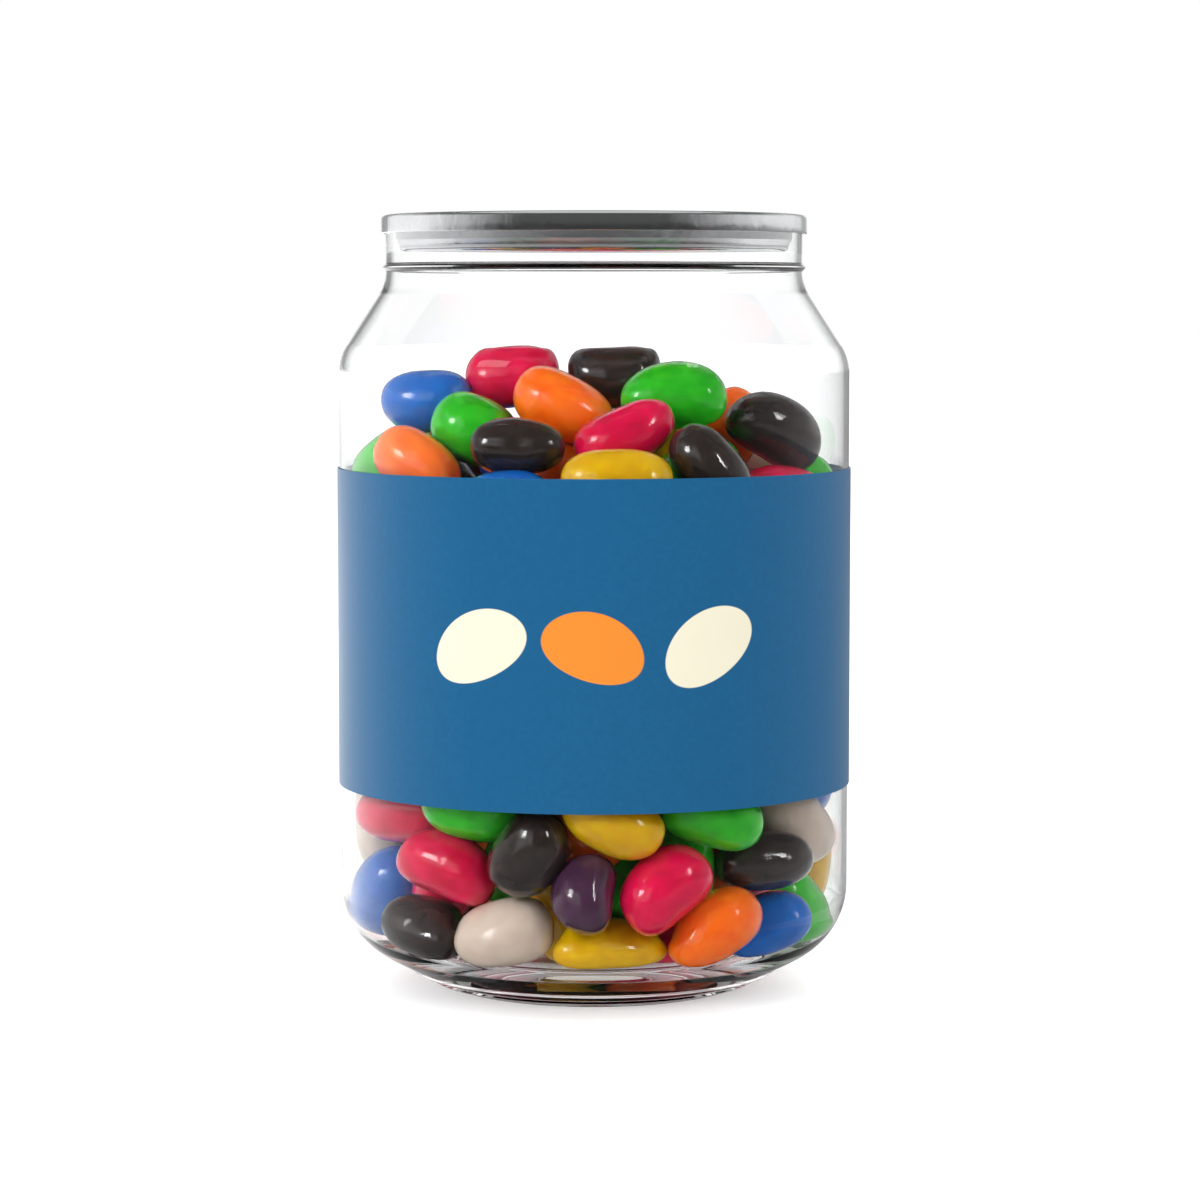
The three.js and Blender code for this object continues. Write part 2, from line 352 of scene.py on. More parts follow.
@dataclass(frozen=True)
class SugarShell:
    """Polished sugar shell of one bean colour, a little see-through and uneven in tone."""

    colour: Colour
    deep: Colour
    clearness: float = 0.85
    depth: float = 3.5 * MM
    gloss: float = 0.14
    mottle_size: float = 3.2 * MM
    dent_size: float = 3.4 * MM
    dent_depth: float = 0.4 * MM

    def material(self, name: str) -> bpy.types.Material:
        """Build the material."""
        brightest = max(self.colour)
        constants = {
            "Subsurface Weight": self.clearness,
            "Subsurface Radius": tuple(0.3 + 0.7 * channel / brightest for channel in self.colour),
            "Subsurface Scale": self.depth,
            "Specular IOR Level": 0.3,
            "Coat Weight": 0.8,
            "Coat Roughness": 0.02,
        }
        material, graph, shell = shader(f"sugar_shell_{name}", constants)
        spot = object_spot(graph)
        mottle = graph.noise(spot, 1 / self.mottle_size, 2.0)
        tone = graph.add("ShaderNodeAttribute", attribute_name="tone").outputs["Fac"]
        mixed = graph.math("ADD", graph.ranged(mottle, 0.3, 0.75, 0.0, 0.7), graph.math("MULTIPLY", tone, 0.3))
        graph.link(graph.blend(mixed, rgba(self.colour), rgba(self.deep)), shell.inputs["Base Color"])
        dents = graph.noise(spot, 1 / self.dent_size, 1.5)
        rough = graph.ranged(dents, 0.3, 0.7, self.gloss - 0.05, self.gloss + 0.07)
        graph.link(rough, shell.inputs["Roughness"])
        bump(graph, dents, self.dent_depth, shell)
        return material


class BeanColour(Enum):
    """The colours of bean in the heap, each with its shell."""

    PINK = SugarShell(linear(226, 15, 80), linear(188, 5, 54))
    BLACK = SugarShell(linear(48, 39, 35), linear(34, 27, 24), clearness=0.2)
    BLUE = SugarShell(linear(0, 106, 192), linear(0, 86, 168))
    GREEN = SugarShell(linear(56, 198, 38), linear(24, 160, 18))
    ORANGE = SugarShell(linear(252, 126, 26), linear(240, 96, 10))
    YELLOW = SugarShell(linear(224, 182, 4), linear(208, 157, 0))
    WHITE = SugarShell(linear(210, 194, 180), linear(196, 178, 162))
    PURPLE = SugarShell(linear(80, 48, 76), linear(60, 32, 54), clearness=0.3)


def rounded_profile(corners: list[Corner], steps: int) -> list[tuple[float, float]]:
    """Round the corners of a profile with arcs.

    Args:
        corners: Radius, height and, where the corner is round, its rounding.
        steps: Steps in each arc.

    Returns:
        The points of the profile.
    """
    points: list[tuple[float, float]] = []
    for index, corner in enumerate(corners):
        place = np.array(corner[:2])
        rounding = corner[2] if len(corner) > 2 else 0.0
        if rounding <= 0.0:
            points.append(tuple(place))
            continue
        back = np.array(corners[index - 1][:2]) - place
        ahead = np.array(corners[index + 1][:2]) - place
        back, ahead = back / np.linalg.norm(back), ahead / np.linalg.norm(ahead)
        half = math.acos(float(np.clip(back @ ahead, -1.0, 1.0))) / 2
        bisector = (back + ahead) / np.linalg.norm(back + ahead)
        centre = place + bisector * rounding / math.sin(half)
        arm = place + back * rounding / math.tan(half) - centre
        sweep = math.copysign(math.pi - 2 * half, ahead[0] * back[1] - ahead[1] * back[0])
        for step in range(steps + 1):
            angle = sweep * step / steps
            turned = (
                arm[0] * math.cos(angle) - arm[1] * math.sin(angle),
                arm[0] * math.sin(angle) + arm[1] * math.cos(angle),
            )
            points.append(tuple(centre + turned))
    return points


def geometry_group(name: str, sizes: dict[str, str]) -> tuple[Graph, dict[str, Socket]]:
    """Start a geometry node group with a geometry and named sizes as inputs.

    Args:
        name: Name of the group.
        sizes: Socket type by the name of each size.

    Returns:
        The graph, and its input sockets by name.
    """
    tree = bpy.data.node_groups.new(name, "GeometryNodeTree")
    tree.interface.new_socket("Geometry", in_out="INPUT", socket_type="NodeSocketGeometry")
    for size, kind in sizes.items():
        tree.interface.new_socket(size, in_out="INPUT", socket_type=kind)
    tree.interface.new_socket("Geometry", in_out="OUTPUT", socket_type="NodeSocketGeometry")
    graph = Graph(tree)
    source = graph.add("NodeGroupInput")
    return graph, {socket.name: socket for socket in source.outputs if socket.name}


def close_group(graph: Graph, geometry: Socket, material: Socket) -> bpy.types.NodeTree:
    """End a group in Realize Instances and Set Material.

    Args:
        graph: The group's graph.
        geometry: The finished geometry.
        material: The material input.

    Returns:
        The group.
    """
    real = graph.add("GeometryNodeRealizeInstances", {"Geometry": geometry}).outputs[0]
    dressed = graph.add("GeometryNodeSetMaterial", {"Geometry": real, "Material": material}).outputs[0]
    graph.add("NodeGroupOutput", {"Geometry": dressed})
    return graph.tree


def turned_group() -> bpy.types.NodeTree:
    """Build the group that turns a chain of profile points round the axis into a closed shell."""
    kinds = {"Sides": "NodeSocketInt", "Smooth Angle": "NodeSocketFloat", "Material": "NodeSocketMaterial"}
    graph, given = geometry_group("turned_shell", kinds)
    profile, sides = given["Geometry"], given["Sides"]
    count = graph.add("GeometryNodeAttributeDomainSize", {"Geometry": profile}).outputs["Point Count"]
    columns = graph.math("ADD", sides, 1.0)
    grid = graph.add("GeometryNodeMeshGrid", {"Vertices X": columns, "Vertices Y": count}).outputs["Mesh"]
    index = graph.add("GeometryNodeInputIndex").outputs[0]
    row = graph.math("MODULO", index, count)
    column = graph.math("FLOOR", graph.math("DIVIDE", index, count))
    place = graph.add("GeometryNodeInputPosition").outputs[0]
    sampled = graph.add(
        "GeometryNodeSampleIndex", {"Geometry": profile, "Value": place, "Index": row}, data_type="FLOAT_VECTOR"
    ).outputs["Value"]
    angle = graph.math("MULTIPLY", column, graph.math("DIVIDE", math.tau, sides))
    turned = graph.add("ShaderNodeVectorRotate", {"Vector": sampled, "Angle": angle}, rotation_type="Z_AXIS")
    shell = graph.add("GeometryNodeSetPosition", {"Geometry": grid, "Position": turned.outputs[0]}).outputs[0]
    joined = graph.add("GeometryNodeMergeByDistance", {"Geometry": shell, "Distance": MERGE_DISTANCE}).outputs[0]
    soft = graph.add("GeometryNodeSetShadeSmooth", {"Geometry": joined, "Shade Smooth": True}, domain="FACE")
    fold = graph.add("GeometryNodeInputMeshEdgeAngle").outputs["Unsigned Angle"]
    gentle = graph.math("LESS_THAN", fold, given["Smooth Angle"])
    inputs = {"Geometry": soft.outputs[0], "Shade Smooth": gentle}
    shaded = graph.add("GeometryNodeSetShadeSmooth", inputs, domain="EDGE").outputs[0]
    return close_group(graph, shaded, given["Material"])


def tube_group() -> bpy.types.NodeTree:
    """Build the group that runs a round rim along a closed loop of points."""
    kinds = {"Radius": "NodeSocketFloat", "Sides": "NodeSocketInt", "Material": "NodeSocketMaterial"}
    graph, given = geometry_group("rolled_rim", kinds)
    path = graph.add("GeometryNodeMeshToCurve", {"Mesh": given["Geometry"]}).outputs[0]
    ring = graph.add(
        "GeometryNodeCurvePrimitiveCircle", {"Resolution": given["Sides"], "Radius": given["Radius"]}
    ).outputs["Curve"]
    tube = graph.add("GeometryNodeCurveToMesh", {"Curve": path, "Profile Curve": ring}).outputs[0]
    soft = graph.add("GeometryNodeSetShadeSmooth", {"Geometry": tube, "Shade Smooth": True}).outputs[0]
    return close_group(graph, soft, given["Material"])


def bean_group() -> bpy.types.NodeTree:
    """Build the group that puts one uneven bean on each point, by the point's own attributes."""
    kinds = {
        "Fineness": "NodeSocketInt", "Bluntness": "NodeSocketFloat", "Lump Size": "NodeSocketFloat",
        "Lump Height": "NodeSocketFloat", "Seed": "NodeSocketFloat", "Material": "NodeSocketMaterial",
    }
    graph, given = geometry_group("uneven_beans", kinds)

    def named(name: str, kind: str) -> Socket:
        """Read an attribute of the points."""
        return graph.add("GeometryNodeInputNamedAttribute", {"Name": name}, data_type=kind).outputs[0]

    place = graph.add("GeometryNodeInputPosition").outputs[0]
    ball = graph.add("GeometryNodeMeshIcoSphere", {"Radius": 1.0, "Subdivisions": given["Fineness"]}).outputs[0]
    along, side, over = graph.split(place)
    power = given["Bluntness"]
    across = graph.math("SQRT", graph.math("ADD", graph.math("POWER", side, 2.0), graph.math("POWER", over, 2.0)))
    long_power = graph.math("POWER", graph.math("ABSOLUTE", along), power)
    total = graph.math("ADD", long_power, graph.math("POWER", across, power))
    swell = graph.math("POWER", total, graph.math("DIVIDE", -1.0, power))
    inputs = {"Geometry": ball, "Position": graph.scaled(place, swell)}
    blunt = graph.add("GeometryNodeSetPosition", inputs).outputs[0]
    inputs = {"Geometry": blunt, "Name": "rest", "Value": place}
    marked = graph.add("GeometryNodeStoreNamedAttribute", inputs, data_type="FLOAT_VECTOR").outputs[0]
    inputs = {
        "Points": given["Geometry"], "Instance": marked,
        "Rotation": named("turn", "FLOAT_VECTOR"), "Scale": named("size", "FLOAT_VECTOR"),
    }
    beans = graph.add("GeometryNodeInstanceOnPoints", inputs).outputs[0]
    real = graph.add("GeometryNodeRealizeInstances", {"Geometry": beans}).outputs[0]

    rest_along, rest_side, _ = graph.split(named("rest", "FLOAT_VECTOR"))
    squared = graph.math("POWER", graph.math("ABSOLUTE", rest_along), 2.0)
    bow = graph.math("MULTIPLY", named("bend", "FLOAT"), graph.math("SUBTRACT", 0.4, squared))
    bowed = graph.scaled(named("belly", "FLOAT_VECTOR"), bow)
    heading = named("along", "FLOAT_VECTOR")
    from_seat = graph.vector("SUBTRACT", place, named("seat", "FLOAT_VECTOR"))
    axial = graph.scaled(heading, graph.vector("DOT_PRODUCT", from_seat, heading))
    egg = graph.math("MULTIPLY", named("taper", "FLOAT"), rest_along)
    tapered = graph.scaled(graph.vector("SUBTRACT", from_seat, axial), egg)
    inputs = {"Geometry": real, "Offset": graph.vector("ADD", bowed, tapered)}
    shaped = graph.add("GeometryNodeSetPosition", inputs).outputs[0]

    inputs = {"Vector": place, "W": given["Seed"], "Scale": graph.math("DIVIDE", 1.0, given["Lump Size"]), "Detail": 1.0}
    lumps = graph.add("ShaderNodeTexNoise", inputs, noise_dimensions="4D").outputs[0]
    lump = graph.math("MULTIPLY", graph.math("SUBTRACT", lumps, 0.5), given["Lump Height"])
    near_middle = graph.math("EXPONENT", graph.math("MULTIPLY", squared, -4.0))
    on_belly = graph.math("POWER", graph.math("MAXIMUM", graph.math("MULTIPLY", rest_side, -1.0), 0.0), 3.0)
    crease = graph.math("MULTIPLY", graph.math("MULTIPLY", near_middle, on_belly), named("crease", "FLOAT"))
    normal = graph.add("GeometryNodeInputNormal").outputs[0]
    inputs = {"Geometry": shaped, "Offset": graph.scaled(normal, graph.math("SUBTRACT", lump, crease))}
    lumpy = graph.add("GeometryNodeSetPosition", inputs).outputs[0]
    soft = graph.add("GeometryNodeSetShadeSmooth", {"Geometry": lumpy, "Shade Smooth": True}).outputs[0]
    return close_group(graph, soft, given["Material"])


def grow(name: str, source: bpy.types.Mesh, group: bpy.types.NodeTree, sizes: dict[str, object]) -> bpy.types.Object:
    """Run a geometry node group on a mesh and keep the result as a plain mesh.

    Args:
        name: Name of the piece.
        source: The mesh that the group reads.
        group: The geometry node group.
        sizes: Values of the group's named inputs.

    Returns:
        The finished object, with no modifier left.
    """
    piece = bpy.data.objects.new(name, source)
    bpy.context.scene.collection.objects.link(piece)
    modifier = piece.modifiers.new("shape", "NODES")
    modifier.node_group = group
    for item in group.interface.items_tree:
        if item.in_out == "INPUT" and item.name in sizes:
            modifier[item.identifier] = sizes[item.name]
    bake_modifiers(piece)
    return piece


def bake_modifiers(piece: bpy.types.Object) -> None:
    """Replace a piece's mesh by its evaluated one and remove its modifiers."""
    evaluated = piece.evaluated_get(bpy.context.evaluated_depsgraph_get())
    mesh = bpy.data.meshes.new_from_object(evaluated)
    piece.modifiers.clear()
    piece.data = mesh
    mesh.name = piece.name


def chain_mesh(name: str, points: list[tuple[float, float]]) -> bpy.types.Mesh:
    """Make a chain of profile points in the XZ plane.

    Args:
        name: Name of the mesh.
        points: Radius and height of each point.

    Returns:
        The mesh.
    """
    mesh = bpy.data.meshes.new(name)
    mesh.from_pydata([(radius, 0.0, height) for radius, height in points], [], [])
    return mesh


def settle_piece(piece: bpy.types.Object, slot: str, *nodes: str) -> bpy.types.Object:
    """Hand a finished piece to the frame.

    Args:
        piece: The piece.
        slot: The record's material slot; not used.
        *nodes: The nodes that it stands for.

    Returns:
        The piece.
    """
    if nodes:
        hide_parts(*nodes)
    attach(piece, BODY)
    LOG.info("%s: %d faces", piece.name, len(piece.data.polygons))
    return piece


@dataclass
class ClearJar:
    """The blown jar: push-up foot, conical heel, straight body, conical shoulder and beaded neck."""

    body_radius: float = 41.0 * MM
    neck_radius: float = 33.44 * MM
    wall: float = 0.8 * MM
    rim_height: float = 123.0 * MM
    rim_rounding: float = 0.3 * MM
    neck_corner: float = 112.94 * MM
    neck_rounding: float = 7.0 * MM
    shoulder_corner: float = 101.24 * MM
    shoulder_rounding: float = 7.5 * MM
    bead_height: float = 115.0 * MM
    bead_width: float = 1.15 * MM
    bead_rise: float = 0.55 * MM
    stand_outer: float = 24.0 * MM
    stand_inner: float = 20.5 * MM
    stand_rounding: float = 3.0 * MM
    push_up_radius: float = 16.5 * MM
    push_up_height: float = 1.6 * MM
    gate_radius: float = 1.8 * MM
    gate_drop: float = 0.5 * MM
    heel_corner: float = 8.6 * MM
    heel_rounding: float = 12.5 * MM
    floor_height: float = 6.1 * MM
    floor_radius: float = 35.4 * MM
    floor_rounding: float = 0.8 * MM
    heel_inner_corner: float = 10.2 * MM
    heel_inner_rounding: float = 7.5 * MM
    ring_radii: tuple[float, ...] = (26.5 * MM, 29.5 * MM)
    ring_width: float = 0.9 * MM
    ring_rise: float = 0.35 * MM
    sides: int = 180
    arc_steps: int = 12
    finish: ClearPlastic = field(default_factory=ClearPlastic)

    @property
    def inner_radius(self) -> float:
        """Radius inside the straight wall."""
        return self.body_radius - self.wall

    def outside(self) -> list[Corner]:
        """List the outer corners from the middle of the foot to the rim."""
        bead_top = self.bead_height + self.bead_width
        bead = self.neck_radius + self.bead_rise
        small = self.bead_rise
        return [
            (0.0, self.push_up_height - self.gate_drop),
            (self.gate_radius, self.push_up_height - self.gate_drop, small),
            (self.gate_radius + small, self.push_up_height, small),
            (self.push_up_radius, self.push_up_height, 2 * MM),
            (self.stand_inner, 0.0, 1 * MM),
            (self.stand_outer, 0.0, self.stand_rounding),
            *self.base_rings(),
            (self.body_radius, self.heel_corner, self.heel_rounding),
            (self.body_radius, self.shoulder_corner, self.shoulder_rounding),
            (self.neck_radius, self.neck_corner, self.neck_rounding),
            (self.neck_radius, self.bead_height, small / 2),
            (bead, self.bead_height + small, small / 2),
            (bead, bead_top - small, small / 2),
            (self.neck_radius, bead_top, small / 2),
            (self.neck_radius, self.rim_height, self.rim_rounding),
        ]

    def base_rings(self) -> list[Corner]:
        """List the corners of the low rings moulded on the cone of the base."""
        run = np.array((self.body_radius - self.stand_outer, self.heel_corner))
        along = run / np.linalg.norm(run)
        out = np.array((along[1], -along[0])) * self.ring_rise
        corners: list[Corner] = []
        for radius in self.ring_radii:
            middle = np.array((self.stand_outer, 0.0)) + run * (radius - self.stand_outer) / run[0]
            for step, rise in ((-0.5, 0.0), (-0.2, 1.0), (0.2, 1.0), (0.5, 0.0)):
                place = middle + along * self.ring_width * step + out * rise
                corners.append((float(place[0]), float(place[1]), 0.12 * MM))
        return corners

    def inside(self) -> list[Corner]:
        """List the inner corners from the rim down to the middle of the floor."""
        neck = self.neck_radius - self.wall
        bead = neck + self.bead_rise
        small = self.bead_rise
        bead_top = self.bead_height + self.bead_width
        return [
            (neck, self.rim_height, self.rim_rounding),
            (neck, bead_top, small / 2),
            (bead, bead_top - small, small / 2),
            (bead, self.bead_height + small, small / 2),
            (neck, self.bead_height, small / 2),
            (neck, self.neck_corner, self.neck_rounding),
            (self.inner_radius, self.shoulder_corner, self.shoulder_rounding),
            (self.inner_radius, self.heel_inner_corner, self.heel_inner_rounding),
            (self.floor_radius, self.floor_height, self.floor_rounding),
            (0.0, self.floor_height),
        ]

    def walls(self) -> np.ndarray:
        """Give the inside as planes that touch its turned outline, for the beans to lie against.

        Returns:
            Rows of outward radial part, outward upward part, and reach along that direction.
        """
        run = np.array((self.inner_radius - self.floor_radius, self.heel_inner_corner - self.floor_height))
        run /= np.linalg.norm(run)
        cone = np.array((run[1], -run[0]))
        cone_reach = float(cone @ (self.floor_radius, self.floor_height))
        centre_radius = self.inner_radius - self.heel_inner_rounding
        centre_height = (cone_reach - self.heel_inner_rounding - cone[0] * centre_radius) / cone[1]
        slant = math.atan2(cone[1], cone[0])
        rows = [(0.0, -1.0, -self.floor_height)]
        for share in np.linspace(0.0, 1.0, 6):
            normal = (math.cos(slant * share), math.sin(slant * share))
            reach = normal[0] * centre_radius + normal[1] * centre_height + self.heel_inner_rounding
            rows.append((*normal, reach))
        return np.array(rows)

    def build(self, group: bpy.types.NodeTree) -> bpy.types.Object:
        """Turn the jar and hand it over.

        Args:
            group: The turned shell group.

        Returns:
            The jar.
        """
        corners = self.outside() + self.inside()
        chain = chain_mesh("jar_profile", rounded_profile(corners, self.arc_steps))
        material = self.finish.material((self.bead_height, self.bead_height + self.bead_width))
        sizes = {"Sides": self.sides, "Smooth Angle": SMOOTH_ANGLE, "Material": material}
        return settle_piece(grow("clear_jar", chain, group, sizes), "clear_plastic", "jar")


@dataclass
class MetalEnd:
    """The pressed end: a rolled seam over the rim, chuck wall, countersunk groove and beaded panel."""

    seam_radius: float = 34.15 * MM
    seam_inner: float = 33.74 * MM
    seam_top: float = 123.9 * MM
    seam_bottom: float = 120.9 * MM
    sheet: float = 0.3 * MM
    chuck_top: float = 31.95 * MM
    chuck_break: tuple[float, float] = (31.75 * MM, 119.75 * MM)
    chuck_foot: tuple[float, float] = (31.2 * MM, 118.85 * MM)
    groove_outer: float = 31.15 * MM
    groove_corner: float = 0.85 * MM
    groove_inner: float = 28.3 * MM
    groove_bottom: float = 117.9 * MM
    groove_rounding: float = 0.9 * MM
    panel_radius: float = 27.8 * MM
    panel_top: float = 120.4 * MM
    score_radius: float = 26.6 * MM
    score_width: float = 0.35 * MM
    score_depth: float = 0.12 * MM
    bead_radii: tuple[float, float] = (20.4 * MM, 22.6 * MM)
    bead_rise: float = 0.45 * MM
    sides: int = 160
    arc_steps: int = 6
    finish: RolledMetal = RolledMetal("end_metal", (0.78, 0.79, 0.80), wrinkle_depth=0.15 * MM)

    def profile(self) -> list[Corner]:
        """List the corners of the sheet, underside first."""
        sheet = self.sheet
        channel = self.seam_top - sheet
        under = self.panel_top - sheet
        inner_bead, outer_bead = self.bead_radii
        bead = self.bead_rise
        return [
            (0.0, under),
            (inner_bead, under, bead),
            (inner_bead + bead, under + bead, bead),
            (outer_bead - bead, under + bead, bead),
            (outer_bead, under, bead),
            (self.panel_radius, under, self.groove_rounding),
            (self.groove_inner, self.groove_bottom, self.groove_rounding),
            (self.groove_outer, self.groove_bottom, self.groove_corner),
            (*self.chuck_foot, 0.15 * MM),
            (*self.chuck_break, 0.15 * MM),
            (self.chuck_top, channel, 0.2 * MM),
            (self.seam_inner, channel, 0.2 * MM),
            (self.seam_inner, self.seam_bottom, 0.1 * MM),
            (self.seam_radius, self.seam_bottom, 0.2 * MM),
            (self.seam_radius, self.seam_top, 0.75 * MM),
            (self.chuck_top - sheet, self.seam_top, 0.75 * MM),
            (self.chuck_break[0] - sheet, self.chuck_break[1], 0.15 * MM),
            (self.chuck_foot[0] - sheet, self.chuck_foot[1] + sheet / 2, 0.15 * MM),
            (self.groove_outer - sheet, self.groove_bottom + sheet, self.groove_corner - sheet),
            (self.groove_inner + sheet, self.groove_bottom + sheet, self.groove_rounding - sheet),
            (self.panel_radius + sheet, self.panel_top, self.groove_rounding),
            (self.score_radius + self.score_width, self.panel_top),
            (self.score_radius + self.score_width / 2, self.panel_top - self.score_depth),
            (self.score_radius, self.panel_top),
            (outer_bead, self.panel_top, bead),
            (outer_bead - bead, self.panel_top + bead, bead),
            (inner_bead + bead, self.panel_top + bead, bead),
            (inner_bead, self.panel_top, bead),
            (0.0, self.panel_top),
        ]

    def build(self, group: bpy.types.NodeTree) -> bpy.types.Object:
        """Turn the end and hand it over.

        Args:
            group: The turned shell group.

        Returns:
            The metal end.
        """
        chain = chain_mesh("end_profile", rounded_profile(self.profile(), self.arc_steps))
        sizes = {"Sides": self.sides, "Smooth Angle": SMOOTH_ANGLE, "Material": self.finish.material()}
        return settle_piece(grow("metal_end", chain, group, sizes), "bare_metal", "lid")


@dataclass
class PullRing:
    """The pull ring: rolled rims round a finger ring and nose, a web between them, and its rivet."""

    rivet_y: float = 18.5 * MM
    nose_radius: float = 6.2 * MM
    ring_y: float = 5.0 * MM
    ring_outer: float = 10.0 * MM
    ring_inner: float = 7.0 * MM
    rim_radius: float = 0.6 * MM
    web: float = 0.35 * MM
    base_height: float = 120.7 * MM
    rivet_radius: float = 2.2 * MM
    rivet_head: float = 3.6 * MM
    rivet_rise: float = 0.9 * MM
    arc_steps: int = 40
    rim_sides: int = 14
    finish: RolledMetal = RolledMetal("ring_metal", (0.80, 0.81, 0.82), roughness=0.14)

    def loop(self, inset: float) -> list[tuple[float, float]]:
        """List the outline of ring and nose, moved inwards by an inset."""
        big, small = self.ring_outer - inset, self.nose_radius - inset
        lean = math.asin((big - small) / (self.rivet_y - self.ring_y))
        points = []
        for centre, radius, start, end in (
            (self.ring_y, big, math.pi - lean, math.tau + lean),
            (self.rivet_y, small, lean, math.pi - lean),
        ):
            for angle in np.linspace(start, end, self.arc_steps):
                points.append((radius * math.cos(angle), centre + radius * math.sin(angle)))
        return points

    def hole(self, centre: float, radius: float) -> list[tuple[float, float]]:
        """List the points of a round hole on the ring's midline."""
        angles = np.linspace(0.0, math.tau, self.arc_steps, endpoint=False)
        return [(radius * math.cos(angle), centre + radius * math.sin(angle)) for angle in angles]

    def edge_loops(self, name: str, loops: list[list[tuple[float, float]]], height: float) -> bpy.types.Mesh:
        """Make closed loops of edges at one height."""
        points, edges = [], []
        for loop in loops:
            start, count = len(points), len(loop)
            points += [(x, y, height) for x, y in loop]
            edges += [(start + step, start + (step + 1) % count) for step in range(count)]
        mesh = bpy.data.meshes.new(name)
        mesh.from_pydata(points, edges, [])
        return mesh

    def build(self, tubes: bpy.types.NodeTree, turned: bpy.types.NodeTree) -> list[bpy.types.Object]:
        """Make the rims, web and rivet and hand them over.

        Args:
            tubes: The rolled rim group.
            turned: The turned shell group.

        Returns:
            The pieces.
        """
        material = self.finish.material()
        middle = self.base_height + self.rim_radius
        rims = [self.loop(self.rim_radius), self.hole(self.ring_y, self.ring_inner + self.rim_radius)]
        sizes = {"Radius": self.rim_radius, "Sides": self.rim_sides, "Material": material}
        rim = grow("ring_rims", self.edge_loops("rim_paths", rims, middle), tubes, sizes)
        settle_piece(rim, "bare_metal", "pull_ring")

        rivet_hole = self.hole(self.rivet_y, self.rivet_radius + 0.2 * MM)
        finger_hole = self.hole(self.ring_y, self.ring_inner + self.rim_radius)
        outline = self.loop(self.rim_radius)
        flat = self.edge_loops("ring_web", [outline, finger_hole, rivet_hole], middle)
        sheet = bmesh.new()
        sheet.from_mesh(flat)
        bmesh.ops.triangle_fill(sheet, edges=sheet.edges[:], use_beauty=True, normal=(0.0, 0.0, 1.0))
        sheet.to_mesh(flat)
        sheet.free()
        flat.materials.append(material)
        web = bpy.data.objects.new("ring_web", flat)
        bpy.context.scene.collection.objects.link(web)
        thick = web.modifiers.new("thickness", "SOLIDIFY")
        thick.thickness = self.web
        thick.offset = 0.0
        bake_modifiers(web)
        settle_piece(web, "bare_metal", "pull_ring")

        head = middle + self.rim_radius
        corners = [
            (0.0, self.base_height - 0.4 * MM),
            (self.rivet_radius, self.base_height - 0.4 * MM),
            (self.rivet_radius, head, 0.1 * MM),
            (self.rivet_head, head, 0.15 * MM),
            (self.rivet_head, head + self.rivet_rise, 0.5 * MM),
            (0.0, head + self.rivet_rise),
        ]
        chain = chain_mesh("rivet_profile", rounded_profile(corners, 5))
        sizes = {"Sides": 48, "Smooth Angle": SMOOTH_ANGLE, "Material": material}
        rivet = grow("rivet", chain, turned, sizes)
        rivet.data.transform(Matrix.Translation((0.0, self.rivet_y, 0.0)))
        settle_piece(rivet, "bare_metal", "lid")
        return [rim, web, rivet]


@dataclass
class WrapLabel:
    """The wrap label: one strip of film round the body, its end lapped over its start at the back."""

    gap: float = 0.1 * MM
    thickness: float = 0.2 * MM
    lap: float = 5.0 * MM
    ramp: float = 2.5 * MM
    columns: int = 260
    finish: PrintedFilm = field(default_factory=PrintedFilm)

    def build(self, jar: ClearJar) -> bpy.types.Object:
        """Wrap the strip and hand it over.

        Args:
            jar: The jar that it is glued to.

        Returns:
            The label.
        """
        low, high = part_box("label")
        inner = jar.body_radius + self.gap
        sweep = math.tau + self.lap / inner
        points, flat = [], []
        for column in range(self.columns + 1):
            angle = sweep * column / self.columns
            past = np.clip((angle - math.tau) * inner / self.ramp + 1.0, 0.0, 1.0)
            lift = self.thickness * past * past * (3.0 - 2.0 * past)
            for radius, height in self.section(inner + lift, low.z, high.z):
                points.append((-radius * math.sin(angle), radius * math.cos(angle), height))
                flat.append(((angle - math.pi) * inner, height))
        faces = []
        ring = 4
        for column in range(self.columns):
            for side in range(ring):
                start, step = column * ring + side, column * ring + (side + 1) % ring
                faces.append((start, step, step + ring, start + ring))
        last = self.columns * ring
        faces += [tuple(reversed(range(ring))), tuple(range(last, last + ring))]
        mesh = bpy.data.meshes.new("wrap_label")
        mesh.from_pydata(points, [], faces)
        layer = mesh.uv_layers.new(name="flat")
        for loop in mesh.loops:
            layer.data[loop.index].uv = flat[loop.vertex_index]
        for polygon in mesh.polygons:
            polygon.use_smooth = True
        mesh.set_sharp_from_angle(angle=SMOOTH_ANGLE)
        mesh.materials.append(self.finish.material(low.z, high.z))
        label = bpy.data.objects.new("wrap_label", mesh)
        bpy.context.scene.collection.objects.link(label)
        return settle_piece(label, "label_film", "label")

    def section(self, inner: float, bottom: float, top: float) -> list[tuple[float, float]]:
        """List the four corners of the strip's section."""
        outer = inner + self.thickness
        return [(inner, bottom), (inner, top), (outer, top), (outer, bottom)]


